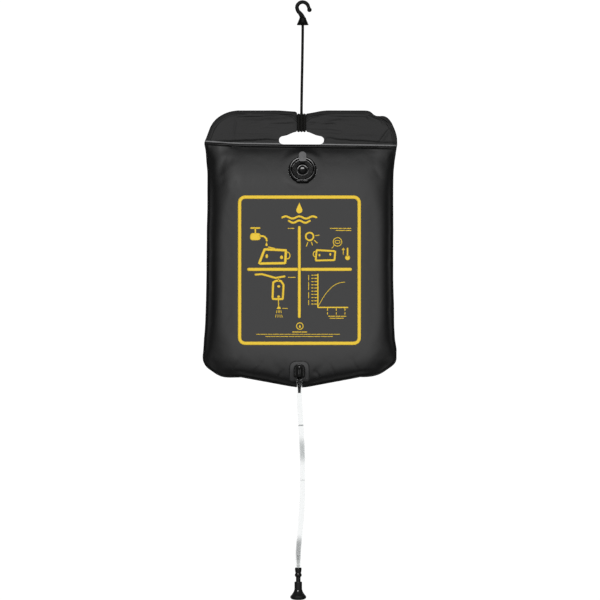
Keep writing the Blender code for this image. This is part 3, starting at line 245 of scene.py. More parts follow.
# %% The hose
HOSE_DIAMETER = 0.0110
HOSE_BORE = 0.0078
HOSE_LENGTH = 0.3952
SPIGOT_X, HOSE_Y = -0.0069, -0.029713
HOSE_TOP_Z = -0.7735
HOSE_ROUTE = (               # how far the hose stands off sideways, and the share of its length there
    (0.0000, 0.000), (0.0000, 0.045), (0.0000, 0.090), (0.0012, 0.165), (0.0032, 0.250), (0.0056, 0.364),
    (0.0066, 0.450), (0.0065, 0.560), (0.0058, 0.650), (0.0021, 0.790), (-0.0014, 0.880), (-0.0022, 0.915),
    (-0.0023, 0.940), (-0.0023, 1.000),
)
hose_route = [(SPIGOT_X + x, HOSE_Y, HOSE_TOP_Z - share * HOSE_LENGTH) for x, share in HOSE_ROUTE]
hose_points = smooth_path(hose_route, 0.006)
hose = sweep("clear_hose", hose_points, HOSE_DIAMETER / 2, sides=32, bore=HOSE_BORE / 2)
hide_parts("hose")
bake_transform(hose)
print(f"hose: {1000 * path_length(hose_points):.0f} mm")

# %% [markdown]
# ## The film bag
# The bag is two sheets of PVC film. They are welded in a narrow line all round and in a strip under
# the hand slot, so above the strip the header is two leaves lying flat and below it the chamber
# swells. A flat sheet can't cover a swollen chamber without spare length along its welds, and the
# film takes that up in puckers. That is why the sheets are cut flat here, given the chamber's
# filled shape, and then left to a cloth simulation that knows their flat lengths.

# %% The bag's outline and depth
BAG_X = -0.0045
HEADER_Z, WELD_Z, CHAMBER_Z, BOTTOM_Z = -0.2202, -0.2907, -0.2967, -0.7954
BAG_HALF, DRAW_IN, EAR_SPREAD, EDGE_WELD = 0.1995, 0.0030, 0.0024, 0.0040
HEADER_CORNER, LEFT_HEADER_CORNER, BOTTOM_CORNER = 0.0580, 0.0720, 0.0410
BOTTOM_POINT, POINT_REACH, POINT_ROUND = 0.0200, 0.1250, 0.08
CHAMBER_DEPTH, FULLNESS_POWER = 0.0360, 2.1
SIDE_REACH, TOP_REACH, BOTTOM_REACH = 0.0760, 0.1080, 0.0800    # how far in from an edge the bag fills out
HITCH_A = CORD_X - BAG_X                    # the hitch beside the bag's middle
HITCH_HALF, DIP, DIP_REACH = 0.00915, 0.0074, 0.0560
FILLER_A, FILLER_Z = 0.0041, -0.3442
RING_FLAT, RING_FREE = 0.0330, 0.0475       # flat out to the first distance from the filler's middle
FILM_HOLE = (0.0262, 0.0246)                # its edge is tucked under the filler's ring
OUTLET_A, OUTLET_Z = -0.0024, -0.7572


def lower_edge(a):
    """Height of the bottom edge at this distance from the bag's middle: a shallow, blunt point."""
    share = np.minimum(np.abs(a) / POINT_REACH, 1.0)
    return BOTTOM_Z + BOTTOM_POINT * (np.hypot(share, POINT_ROUND) - POINT_ROUND) / (
        math.hypot(1.0, POINT_ROUND) - POINT_ROUND)


def upper_edge(a):
    """Height of the header's top edge, which dips where the cord draws it together."""
    share = np.minimum(np.abs(a - HITCH_A) / DIP_REACH, 1.0)
    return HEADER_Z - np.where(a < HITCH_A, 0.4, 1.0) * DIP * (1 + np.cos(math.pi * share)) / 2


def fullness(inside, reach):
    return 1 - (1 - np.clip(inside / reach, 0.0, 1.0)) ** FULLNESS_POWER


def chamber_half(a, z):
    edge = lower_edge(a)
    down, up = CHAMBER_Z - z, np.maximum(z - edge, 0.0)
    full = fullness(down, TOP_REACH) * fullness(up - BOTTOM_CORNER, BOTTOM_REACH)
    half = BAG_HALF + EAR_SPREAD * down / (CHAMBER_Z - BOTTOM_Z) - DRAW_IN * full
    short = np.clip(BOTTOM_CORNER - up, 0.0, BOTTOM_CORNER)
    return half - (BOTTOM_CORNER - np.sqrt(BOTTOM_CORNER ** 2 - short ** 2))


def chamber_depth(a, z):
    side = fullness(chamber_half(a, z) - EDGE_WELD - np.abs(a), SIDE_REACH)
    bottom = fullness(z - lower_edge(a) - EDGE_WELD, BOTTOM_REACH)
    return CHAMBER_DEPTH * side * fullness(CHAMBER_Z - z, TOP_REACH) * bottom


FILLER_DEPTH = float(chamber_depth(FILLER_A, FILLER_Z))
SLOPE_STEP = 3e-4
FILLER_SLOPE = float(chamber_depth(FILLER_A, FILLER_Z + SLOPE_STEP)
                     - chamber_depth(FILLER_A, FILLER_Z - SLOPE_STEP)) / (2 * SLOPE_STEP)


def front_depth(a, z):
    """The front sheet lies flat round the stiff filler ring."""
    away = np.hypot(a - FILLER_A, z - FILLER_Z)
    held = eased(np.clip((RING_FREE - away) / (RING_FREE - RING_FLAT), 0.0, 1.0))
    flat = FILLER_DEPTH + FILLER_SLOPE * (z - FILLER_Z)
    return chamber_depth(a, z) * (1 - held) + flat * held


def resample(points, step):
    """Points at even steps along a line, both ends kept."""
    points = np.array(points, float)
    walked = np.concatenate([[0.0], np.cumsum(np.linalg.norm(np.diff(points, axis=0), axis=1))])
    goals = np.linspace(0.0, walked[-1], max(round(walked[-1] / step), 1) + 1)
    return np.stack([np.interp(goals, walked, points[:, k]) for k in (0, 1)], axis=1)


def side_and_bottom(inset):
    """From the chamber's top right corner down, round the bottom and up to its top left corner."""
    reference = BAG_HALF - BOTTOM_CORNER
    corner_z = float(lower_edge(reference)) + BOTTOM_CORNER
    zs = np.linspace(CHAMBER_Z, corner_z, 80)
    right = [(float(chamber_half(reference, z)) - inset, z) for z in zs]
    middle = right[-1][0] + inset - BOTTOM_CORNER
    for turn in np.linspace(0.0, -math.pi / 2, 16)[1:]:
        right.append((middle + (BOTTOM_CORNER - inset) * math.cos(turn),
                      corner_z + (BOTTOM_CORNER - inset) * math.sin(turn)))
    bottom = [(a, float(lower_edge(a)) + inset) for a in np.linspace(middle, -middle, 90)[1:-1]]
    return right + bottom + [(-a, z) for a, z in reversed(right)]


def header_line():
    """From the chamber's top left corner round the header, with the hitch's notch, to its top right."""
    def corner(radius):
        """From the header's side up round a corner to its top edge, on the left side."""
        return [(-BAG_HALF + radius - radius * math.cos(t), HEADER_Z - radius + radius * math.sin(t))
                for t in np.linspace(0.0, math.pi / 2, 26)]

    straight = BAG_HALF - HEADER_CORNER
    left = [(-BAG_HALF, CHAMBER_Z)] + corner(LEFT_HEADER_CORNER)
    top_left = [(a, float(upper_edge(a))) for a in np.linspace(left[-1][0], HITCH_A - HITCH_HALF, 60)[1:]]
    top_right = [(a, float(upper_edge(a))) for a in np.linspace(HITCH_A + HITCH_HALF, straight, 60)]
    notch = [(HITCH_A - HITCH_HALF, BAND_TOP_Z), (HITCH_A + HITCH_HALF, BAND_TOP_Z)]
    right = [(-a, z) for a, z in reversed([(-BAG_HALF, CHAMBER_Z)] + corner(HEADER_CORNER))][1:]
    return left + top_left + notch + top_right + right


def slot_line():
    """The hand slot: round ends, and an upper edge drawn up to the band in the hitch."""
    half, end = 0.0470, 0.0085              # half its length and the radius of its ends
    foot, peak = -0.2904, -0.2647           # its lower edge, and its upper edge beside the hitch
    reach, rise = half - end - HITCH_HALF, peak - foot - 2 * end
    lift = [(HITCH_HALF + reach * share, foot + 2 * end + rise * (1 + math.cos(math.pi * share)) / 2)
            for share in np.linspace(1.0, 0.0, 12)[1:]] + [(HITCH_HALF, BAND_FOOT_Z)]
    right = [(half - end + end * math.cos(t), foot + end + end * math.sin(t))
             for t in np.linspace(-math.pi / 2, math.pi / 2, 14)] + lift
    return [(HITCH_A + a, z) for a, z in right] + [(HITCH_A - a, z) for a, z in reversed(right)]

# %% [markdown]
# ### Cutting the film
# The lines above are turned into triangles of one size, packed like a honeycomb, because a square
# grid wrinkles along its own rows. The header and the edge weld are one layer in the simulation,
# the chamber's front and back are two, and all of them share the points of the weld line.

# %% Triangulate the sheets
CELL = 0.0070                # length of one triangle's side
ROW_STEP = 0.866             # rows of such triangles lie this share of a side apart
CLEAR = 0.55                 # and loose points stay this share of a side away from a line


def inside(points, line):
    """Which points lie inside a closed line."""
    x, z = points[:, 0], points[:, 1]
    found = np.zeros(len(points), bool)
    line = np.asarray(line)
    for (x0, z0), (x1, z1) in zip(line, np.roll(line, -1, axis=0)):
        if z0 != z1:
            found ^= ((z0 > z) != (z1 > z)) & (x < (x1 - x0) * (z - z0) / (z1 - z0) + x0)
    return found


def near_line(points, line, reach):
    """Which points lie closer to a closed line's own points than reach."""
    found = np.zeros(len(points), bool)
    for point in line:
        found |= np.hypot(points[:, 0] - point[0], points[:, 1] - point[1]) < reach
    return found


def honeycomb(step, left=-0.21, foot=-0.80, width=0.42, height=0.60):
    """Points over the whole bag, each row shifted by half a step against the last."""
    rows, columns = int(height / (step * ROW_STEP)), int(width / step)
    return np.array([(left + (column + 0.5 * (row % 2)) * step, foot + row * step * ROW_STEP)
                     for row in range(rows) for column in range(columns)])


def oval(a, z, wide, tall, count):
    """Points round an oval with these two radii."""
    return np.array([(a + wide * math.cos(t), z + tall * math.sin(t))
                     for t in np.linspace(0, math.tau, count + 1)[:-1]])


outer_right = resample(side_and_bottom(0.0), CELL)
weld_right = resample(side_and_bottom(EDGE_WELD), CELL)
cross_low = resample([(-(BAG_HALF - EDGE_WELD), CHAMBER_Z), (BAG_HALF - EDGE_WELD, CHAMBER_Z)], CELL)
header_edge = resample(header_line(), CELL * 0.8)
outer_loop = np.concatenate([outer_right[:-1], header_edge[:-1]])
weld_loop = np.concatenate([weld_right[:-1], cross_low[:-1]])
slot_loop = resample(slot_line() + slot_line()[:1], CELL * 0.8)[:-1]
filler_loop = oval(FILLER_A, FILLER_Z, *FILM_HOLE, 28)
lattice = honeycomb(CELL)
free = ~near_line(lattice, outer_loop, CELL * CLEAR) & ~near_line(lattice, weld_loop, CELL * 0.6)
header_points = lattice[free & inside(lattice, outer_loop) & ~inside(lattice, weld_loop)
                        & ~inside(lattice, slot_loop) & ~near_line(lattice, slot_loop, CELL * CLEAR)]
chamber_points = lattice[free & inside(lattice, weld_loop)]
front_points = chamber_points[~inside(chamber_points, filler_loop)
                              & ~near_line(chamber_points, filler_loop, CELL * CLEAR)]


def triangles(loops, extra, keep):
    """Joins loops and loose points into triangles and keeps those whose middle keep() allows."""
    points = np.concatenate(loops + [extra])
    edges, start = [], 0
    for loop in loops:
        edges += [(start + i, start + (i + 1) % len(loop)) for i in range(len(loop))]
        start += len(loop)
    result = geometry.delaunay_2d_cdt([Vector(p) for p in points], edges, [], 0, 1e-7)
    places, faces = np.array([tuple(v) for v in result[0]]), np.array([list(f) for f in result[2]])
    middles = places[faces].mean(axis=1)
    return places, faces[keep(middles)]


header_part = triangles([outer_loop, weld_loop, slot_loop], header_points,
                        lambda m: inside(m, outer_loop) & ~inside(m, weld_loop) & ~inside(m, slot_loop))
front_part = triangles([weld_loop, filler_loop], front_points,
                       lambda m: inside(m, weld_loop) & ~inside(m, filler_loop))
back_part = triangles([weld_loop], chamber_points, lambda m: inside(m, weld_loop))
print("triangles:", len(header_part[1]), len(front_part[1]), len(back_part[1]))

# %% [markdown]
# ### Two shapes for one film
# Each point of the film has two places. Its filled place is on the swollen bag, and its flat place
# is on the sheet as it was cut. The simulation starts from the first and its springs remember the
# second, so whatever length the filled shape has no room for turns into folds and puckers.

# %% One mesh with a filled and a flat shape
FLAT_WIDTH = 0.4100          # the film's width before it was filled
FLAT_CHAMBER = 0.5158        # the chamber's flat height at the bag's middle


def straight_half(z):
    """Half the chamber's width at a height, without the rounding of its corners."""
    down = np.clip(CHAMBER_Z - z, 0.0, None)
    up = np.clip(z - BOTTOM_Z - BOTTOM_POINT - BOTTOM_CORNER, 0.0, None)
    full = fullness(down, TOP_REACH) * fullness(up, BOTTOM_REACH)
    return BAG_HALF + EAR_SPREAD * down / (CHAMBER_Z - BOTTOM_Z) - DRAW_IN * full


def flat_place(a, z):
    """Where a point of the filled bag was on the flat sheet."""
    tall = FLAT_CHAMBER / (CHAMBER_Z - BOTTOM_Z)
    across = a * (FLAT_WIDTH / 2) / straight_half(z)
    return across, np.where(z < CHAMBER_Z, CHAMBER_Z - (CHAMBER_Z - z) * tall, z)


film_places, film_layers, film_faces, film_sides = [], [], [], []
shared = {}
for layer, (places, faces) in enumerate((header_part, front_part, back_part)):
    numbers = []
    for a, z in places:
        key = (round(a, 6), round(z, 6))
        if layer and key in shared:
            numbers.append(shared[key])
            continue
        if not layer:
            shared[key] = len(film_places)
        numbers.append(len(film_places))
        film_places.append((a, z))
        film_layers.append(layer)
    for face in faces:
        turned = face[::-1] if layer == 2 else face
        film_faces.append([numbers[i] for i in turned])
        film_sides.append(layer)
film_places, film_layers, film_sides = np.array(film_places), np.array(film_layers), np.array(film_sides)
film_a, film_z = film_places[:, 0], film_places[:, 1]
film_depth = np.select([film_layers == 1, film_layers == 2],
                       [-front_depth(film_a, film_z), chamber_depth(film_a, film_z)], 0.0)
filled = np.stack([BAG_X + film_a, film_depth, film_z], axis=1)
flat_a, flat_z = flat_place(film_a, film_z)
flat = np.stack([BAG_X + flat_a, np.zeros(len(flat_a)), flat_z], axis=1)
print("film points:", len(filled), "faces:", len(film_faces))

# %% [markdown]
# ### Letting the film settle
# The film is held where stiff pieces hold it: by the cord's winding at the top, by the filler's
# ring and by the patch of the outlet. Everywhere else it may move by up to nine millimetres.

# %% Simulate the film
CLOTH = {
    "quality": 7, "mass": 0.02, "air_damping": 2.0, "tension_stiffness": 18.0, "compression_stiffness": 18.0,
    "shear_stiffness": 8.0, "bending_stiffness": 0.7, "tension_damping": 4.0, "compression_damping": 4.0,
    "shear_damping": 4.0, "bending_damping": 0.5, "vertex_group_mass": "held", "pin_stiffness": 1.0,
    "use_pressure": True, "uniform_pressure_force": 6.0, "vertex_group_pressure": "swollen",
}


def film_object(name, places, faces):
    """A new object from points and faces."""
    mesh = bpy.data.meshes.new(name)
    mesh.from_pydata([tuple(p) for p in places], [], [list(map(int, f)) for f in faces])
    mesh.update()
    made = bpy.data.objects.new(name, mesh)
    bpy.context.scene.collection.objects.link(made)
    return made


def settle(places, flat_places, faces, held, swollen, frames=26):
    """Runs the cloth simulation and returns where the points end up."""
    film = film_object("film_at_rest", places, faces)
    film.shape_key_add(name="filled")
    cut = film.shape_key_add(name="flat")
    for i, place in enumerate(flat_places):
        cut.data[i].co = place
    pins = film.vertex_groups.new(name="held")
    for i, hold in enumerate(held):
        pins.add([i], float(hold), "REPLACE")
    air = film.vertex_groups.new(name="swollen")
    air.add([int(i) for i in np.nonzero(swollen)[0]], 1.0, "REPLACE")
    cloth = film.modifiers.new("Cloth", "CLOTH")
    for setting, value in CLOTH.items():
        setattr(cloth.settings, setting, value)
    cloth.settings.rest_shape_key = cut
    cloth.settings.effector_weights.gravity = 0.0
    cloth.collision_settings.use_collision = False
    cloth.collision_settings.use_self_collision = False
    cloth.point_cache.frame_start, cloth.point_cache.frame_end = 1, frames
    bpy.context.view_layer.update()
    for frame_number in range(1, frames + 1):
        bpy.context.scene.frame_set(frame_number)
    depsgraph = bpy.context.evaluated_depsgraph_get()
    result = film.evaluated_get(depsgraph).to_mesh()
    moved = np.array([tuple(v.co) for v in result.vertices])
    film.evaluated_get(depsgraph).to_mesh_clear()
    bpy.context.scene.frame_set(1)
    bpy.data.objects.remove(film)
    return moved


def round_hitch(a, z):
    """How firmly the winding holds the film at a place, from 1 under it to 0 well beside it."""
    return np.clip(1.6 - np.hypot((a - HITCH_A) / 0.011, (z + 0.2462) / 0.016), 0.0, 1.0)


def front_hold(a, z, reach, fall):
    """A round hold on the front sheet, which fades over the last millimetres of its reach."""
    return np.clip((reach - np.hypot(film_a - a, film_z - z)) / fall, 0.0, 1.0) * (film_layers == 1)


EDGE_HOLD, MIDDLE_HOLD = 0.105, 0.42   # a faint pull towards the filled shape, stronger in the middle
CAP = 0.009                            # how far the film may leave its filled shape
RIPPLE = 0.0007                        # small uneven places that the puckers start from
to_edge = np.minimum.reduce([chamber_half(film_a, film_z) - np.abs(film_a), film_z - lower_edge(film_a),
                             2 * (CHAMBER_Z - film_z)])
middle = np.clip((to_edge - 0.028) / 0.050, 0.0, 1.0)
loose_hold = EDGE_HOLD + (MIDDLE_HOLD - EDGE_HOLD) * middle * middle * (3 - 2 * middle)
hitch_hold = round_hitch(film_a, film_z) * (film_layers == 0)
ring_hold = front_hold(FILLER_A, FILLER_Z, 0.0395, 0.004)
outlet_hold = front_hold(OUTLET_A, OUTLET_Z, 0.026, 0.006)
held = np.maximum.reduce([hitch_hold, ring_hold, outlet_hold, loose_hold])
ripple = np.array([noise.noise(Vector((x * 55, y * 30, z * 55 + (7 if y > 0 else 0)))) for x, y, z in filled])
start_places = filled.copy()
start_places[:, 1] += RIPPLE * ripple * (1 - middle) * (held < 0.9)
settled = settle(start_places, flat, film_faces, held, film_layers > 0)
gone = settled - filled
far = np.linalg.norm(gone, axis=1)
settled = filled + gone * (CAP * np.tanh(far / CAP) / np.maximum(far, 1e-9))[:, None]
print(f"film moved {1000 * far.mean():.1f} mm on average, {1000 * far.max():.1f} mm at most")

# %% [markdown]
# The photograph's bag has a few shapes of its own. Its top right corner is dented, at the left the
# strip weld is pulled up a little, both bottom corners are drawn up, and its sides run in and out by
# a pixel or two. All are small moves of the settled points.

# %% The bag's own corners and sides
def around(a, z, reach):
    """1 at a place of the bag, fading to 0 over this reach round it."""
    return np.exp(-(np.hypot(film_a - a, film_z - z) / reach) ** 2)


near_left = np.clip((-film_a - 0.120) / 0.075, 0.0, 1.0) ** 1.5 * np.exp(-((film_z - WELD_Z) / 0.030) ** 2)
settled[:, 2] += 0.0035 * near_left
for share, across, up in (
        (around(0.160, -0.222, 0.0125) * (film_layers == 0), -0.0040, -0.0085),
        (around(0.186, -0.772, 0.030), -0.0025, 0.0120), (around(-0.188, -0.774, 0.024), 0.0, 0.0080)):
    settled[:, 2] += up * share
    settled[:, 0] += across * share
SIDE_MOVES = (               # row of the photograph's frame, and how far each side moves there, in pixels
    (118, 0.0, 0.0), (126, 1.2, -0.8), (132, 2.1, -0.5), (138, 2.0, 0.2), (144, 0.0, 0.4),
    (148, 0.5, -0.2), (152, 1.3, -0.6), (160, 1.5, -1.5), (172, 1.9, -2.0), (190, 1.0, -1.4),
    (210, 0.5, -0.9), (230, -0.4, -0.5), (256, -0.7, -0.6), (280, -0.8, -0.6), (304, -1.0, -0.2),
    (325, -1.3, -0.4), (340, -1.6, -0.5), (349, -1.2, 0.2), (357, -1.1, -0.7), (366, 0.0, -0.6),
    (376, 0.0, 0.0))
FRAME_X, FRAME_Y = 302.7, 3.9    # where x = 0 and z = 0 lie in the photograph's frame, in pixels
row_z, left_move, right_move = (np.array(column)[::-1] for column in zip(*SIDE_MOVES))
row_z = (FRAME_Y - row_z) * PIXEL
to_side = np.clip((np.abs(film_a) - 0.110) / 0.080, 0.0, 1.0) ** 2
side_move = np.where(film_a < 0, np.interp(film_z, row_z, left_move), np.interp(film_z, row_z, right_move))
settled[:, 0] += PIXEL * to_side * side_move

# %% [markdown]
# ### From settled film to two welded sheets
# The settled mesh is one skin. The real bag has two sheets, so the header and the edge weld are
# taken twice, once for each, and both sheets get a wall of 0.6 mm outwards. Each sheet also gets two
# UV maps in metres. The first is its flat cut, which the film's grain follows. The second holds the
# distance from the outer edge and from the strip weld, so that the welds can be drawn where they are.
#
# Film that was folded flat in its box also keeps folds that no simulation knows of: level ones that
# start at the cord, two along the foot of the header, short ones in its corners, and the tails of
# the puckers along the bottom. They are pressed into both sheets alike, as soft lines.

# %% The front and back sheets
FILM_WALL = 0.0006
SHEET_GAP = 0.00015          # from the middle plane to each sheet's inner face
CREASE_STRENGTH = 1.25
WANDER = 0.0022              # how far a crease strays from its straight line
noise.seed_set(4)            # without a seed, noise_vector takes its offsets from the clock
CREASES = (                  # start and end in the photograph's frame, reach and height in millimetres
    ((238, 117.5), (291, 115.5), 3.4, -3.2), ((313, 115.5), (366, 117.5), 3.4, -2.6),
    ((271, 123.9), (297, 123.7), 3.2, -1.9), ((306, 123.8), (334, 123.5), 3.2, -1.9),
    ((306, 126.2), (340, 119.5), 2.8, 1.3), ((262, 128.5), (297, 127.0), 3.0, -1.0),
    ((306, 129.0), (341, 131.5), 3.0, -1.2), ((212, 142.0), (278, 140.2), 4.6, -4.2),
    ((327, 139.0), (394, 143.8), 4.6, -4.0), ((222, 134.2), (283, 134.4), 2.0, 0.9),
    ((320, 134.4), (382, 133.8), 2.0, 0.9), ((391, 127.5), (378, 143.0), 3.6, -2.2),
    ((373, 115.5), (393, 125.0), 3.4, -2.4), ((366, 113.5), (380, 121.5), 2.6, 1.6),
    ((236, 111.5), (233, 140.5), 3.0, -0.9), ((238, 111.0), (252, 114.5), 2.4, 1.4),
    ((206.5, 141.0), (228, 144.2), 3.2, 2.2), ((214, 124.0), (206, 140.0), 3.6, -1.5),
    ((244, 126.0), (266, 121.0), 3.0, -0.7), ((345, 124.0), (364, 128.0), 3.2, -0.8),
    ((206.0, 150.0), (212.0, 160.0), 3.0, -0.7), ((394.5, 150.0), (388.0, 161.0), 3.0, -0.7),
    ((207.0, 160.0), (210.0, 176.0), 2.6, 0.5), ((232, 374), (240, 358), 3.6, -0.6),
    ((252, 376), (262, 362), 3.6, -0.6), ((336, 377), (330, 363), 3.6, -0.6),
    ((360, 374), (352, 358), 3.6, -0.6), ((276, 380), (283, 369), 3.2, -0.9),
    ((322, 381), (315, 370), 3.2, -0.9),
)


def line_distance(points, line):
    """Distance of each point from a closed line."""
    line = np.asarray(line)
    best = np.full(len(points), 1e9)
    for a, b in zip(line, np.roll(line, -1, axis=0)):
        along = b - a
        length = max(float(along @ along), 1e-18)
        share = np.clip(((points - a) @ along) / length, 0.0, 1.0)
        best = np.minimum(best, np.linalg.norm(points - (a + share[:, None] * along), axis=1))
    return best


edge_distance = line_distance(film_places, outer_loop)
strip_distance = CHAMBER_Z - film_z


def pick(piece):
    """Selects one piece alone."""
    bpy.ops.object.select_all(action="DESELECT")
    bpy.context.view_layer.objects.active = piece
    piece.select_set(True)


def apply_all(piece):
    """Applies every modifier of a piece, in order."""
    pick(piece)
    for modifier in list(piece.modifiers):
        bpy.ops.object.modifier_apply(modifier=modifier.name)
    piece.select_set(False)


def thicken(piece, wall, even=False):
    """Gives a sheet a wall outwards."""
    solid = piece.modifiers.new("wall", "SOLIDIFY")
    solid.thickness, solid.offset, solid.use_even_offset = wall, 1.0, even
    apply_all(piece)


def on_bag(px, py):
    """A place in the photograph's frame as distance from the bag's middle and height."""
    return (px - FRAME_X) * PIXEL - BAG_X, (FRAME_Y - py) * PIXEL


def crease_push(a, z):
    """How far the creases stand out towards the viewer at places on the bag."""
    wander = np.array([noise.noise_vector(Vector((x * 45, 0.0, y * 45))) for x, y in zip(a, z)]) * WANDER
    total = np.zeros(len(a))
    for start, end, reach, height in CREASES:
        first, last = np.array(on_bag(*start)), np.array(on_bag(*end))
        way = last - first
        from_x, from_z = a + wander[:, 0] - first[0], z + wander[:, 2] - first[1]
        share = (from_x * way[0] + from_z * way[1]) / (way @ way)
        held = np.clip(share, 0.0, 1.0)
        away = np.hypot(from_x - held * way[0], from_z - held * way[1])
        below = np.clip((held * way[1] - from_z) / np.maximum(away, 1e-9), 0.0, 1.0)
        near = np.clip(1 - away / (reach / 1000 * (1 + 2.2 * below)), 0.0, 1.0)
        along = 0.45 + 0.55 * np.sin(math.pi * held)
        total += CREASE_STRENGTH * height / 1000 * near * near * (3 - 2 * near) * along
    return total


def sheet_piece(name, layer, side):
    """One sheet of the bag: side is -1 for the front and 1 for the back."""
    chosen = [i for i, which in enumerate(film_sides) if which in (0, layer)]
    used = sorted({v for i in chosen for v in film_faces[i]})
    number = {v: n for n, v in enumerate(used)}
    places = settled[used] + np.array([0.0, side * SHEET_GAP, 0.0])
    faces = []
    for i in chosen:
        face = [number[v] for v in film_faces[i]]
        faces.append(face[::-1] if side > 0 and film_sides[i] == 0 else face)
    piece = film_object(name, places, faces)
    cut = piece.data.uv_layers.new(name="UVMap")
    rim = piece.data.uv_layers.new(name="rim")
    corners = np.array([loop.vertex_index for loop in piece.data.loops])
    used = np.array(used)
    for layer_map, values in ((cut, (flat_a, flat_z)), (rim, (edge_distance, strip_distance))):
        pairs = np.stack([values[0][used][corners], values[1][used][corners]], axis=1)
        layer_map.data.foreach_set("uv", pairs.ravel())
    # the header's cells are halved first, because its creases are finer than the chamber's
    work = bmesh.new()
    work.from_mesh(piece.data)
    work.faces.ensure_lookup_table()
    header_faces = {n for n, i in enumerate(chosen) if film_sides[i] == 0}
    inner = [e for e in work.edges if all(f.index in header_faces for f in e.link_faces)]
    bmesh.ops.subdivide_edges(work, edges=inner, cuts=1, use_grid_fill=True)
    bmesh.ops.triangulate(work, faces=[f for f in work.faces if len(f.verts) > 4])
    for face in work.faces:
        face.smooth = True
    work.to_mesh(piece.data)
    work.free()
    finer = piece.modifiers.new("finer", "SUBSURF")
    finer.levels = finer.render_levels = 1
    apply_all(piece)
    where = np.array([tuple(v.co) for v in piece.data.vertices])
    a, z = where[:, 0] - BAG_X, where[:, 2]
    on_chamber = np.clip((CHAMBER_Z + 0.002 - z) / 0.004, 0.0, 1.0)
    outwards = np.where(on_chamber > 0, side, -1)
    where[:, 1] += outwards * crease_push(a, z) * (1 - round_hitch(a, z))
    piece.data.vertices.foreach_set("co", where.ravel())
    thicken(piece, FILM_WALL, even=True)
    return piece


front_sheet = sheet_piece("front_sheet", 1, -1)
back_sheet = sheet_piece("back_sheet", 2, 1)
for piece, node in ((front_sheet, "front_panel"), (back_sheet, "back_panel")):
    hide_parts(node)
    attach(piece, "bag")
    print(piece.name, len(piece.data.polygons), "faces")

# %% [markdown]
# ### The outlet's patch
# An arched patch of the same film is welded on the front sheet where the outlet goes through, so
# that the elbow can't tear it. It is cut from a fine grid and laid on the front sheet by casting each
# of its points back onto it. Its rim is pressed flat where the welding tool held it.

# %% The outlet's patch
front_tree = BVHTree.FromObject(front_sheet, bpy.context.evaluated_depsgraph_get())


def film_front(x, z, fallback=None):
    """Depth of the front sheet's outer face at a place, seen from the front."""
    hit = front_tree.ray_cast(Vector((x, -0.2, z)), Vector((0.0, 1.0, 0.0)), 0.4)[0]
    return hit.y if hit is not None else fallback


def laid(name, places, faces, lift, wall, fallback):
    """A flat shape laid on the front sheet at this lift and given a wall."""
    solid = [(BAG_X + a, film_front(BAG_X + a, z, fallback) - lift, z) for a, z in places]
    piece = film_object(name, solid, faces)
    piece.data.polygons.foreach_set("use_smooth", [True] * len(piece.data.polygons))
    thicken(piece, wall)
    return piece


def arch(half, low, high):
    """An outline with well rounded upper corners and small round corners at its foot."""
    bend, corner = half * 0.62, half * 0.25
    right = [(half - bend + bend * math.cos(t), high - bend + bend * math.sin(t))
             for t in np.linspace(0.0, math.pi / 2, 12)]
    foot = [(-half + corner * (1 - math.cos(t)), low + corner * (1 - math.sin(t)))
            for t in np.linspace(0.0, math.pi / 2, 6)]
    return np.array(right + [(-a, z) for a, z in right[::-1]] + foot + [(-a, z) for a, z in foot[::-1]])


PATCH_HALF, PATCH_LOW, PATCH_HIGH = 0.0208, -0.7807, -0.7392
PATCH_STEP, PATCH_WALL = 0.0018, 0.0006
patch_edge = arch(PATCH_HALF, PATCH_LOW, PATCH_HIGH)
patch_line = resample(np.vstack([patch_edge, patch_edge[:1]]) + np.array([OUTLET_A, 0.0]), 0.002)[:-1]
hole_line = oval(OUTLET_A, OUTLET_Z, 0.0062, 0.0062, 24)
low, high = patch_line.min(axis=0), patch_line.max(axis=0)
patch_points = np.array([
    (a + (PATCH_STEP / 2 if row % 2 else 0.0), z)
    for row, z in enumerate(np.arange(low[1] + PATCH_STEP / 2, high[1], PATCH_STEP * ROW_STEP))
    for a in np.arange(low[0] + PATCH_STEP / 2, high[0], PATCH_STEP)])
for loop in (patch_line, hole_line):
    patch_points = patch_points[~near_line(patch_points, loop, PATCH_STEP * 0.45)]
patch_points = patch_points[inside(patch_points, patch_line) & ~inside(patch_points, hole_line)]
patch_places, patch_faces = triangles([patch_line, hole_line], patch_points,
                                      lambda m: inside(m, patch_line) & ~inside(m, hole_line))
patch = laid("outlet_reinforcement", patch_places, patch_faces, PATCH_WALL, PATCH_WALL, -0.001)
corners = [patch.data.vertices[loop.vertex_index].co for loop in patch.data.loops]
corners = np.array([(co.x - BAG_X, co.z) for co in corners])
rim = np.stack([line_distance(corners, patch_line), corners[:, 1]], axis=1)
patch.data.uv_layers.new(name="rim").data.foreach_set("uv", rim.ravel())
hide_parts("outlet_patch")
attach(patch, "bag")

# %% [markdown]
# ## The print
# The front carries a yellow screen print: a round-cornered frame, a cross that divides it, and four
# small drawings of how a solar shower is used. The drawings here are plain ones of our own: filling
# under a tap, warming in the sun, hanging from a branch, and a curve of warmth over time. Where the
# real bag has a name there is a drop over two waves, and where it has words there are short bars.
# Ink lies on film, so every stroke is a thin strip whose points are cast onto the settled film.

# %% Strokes and filled shapes
ink_places, ink_faces = [], []


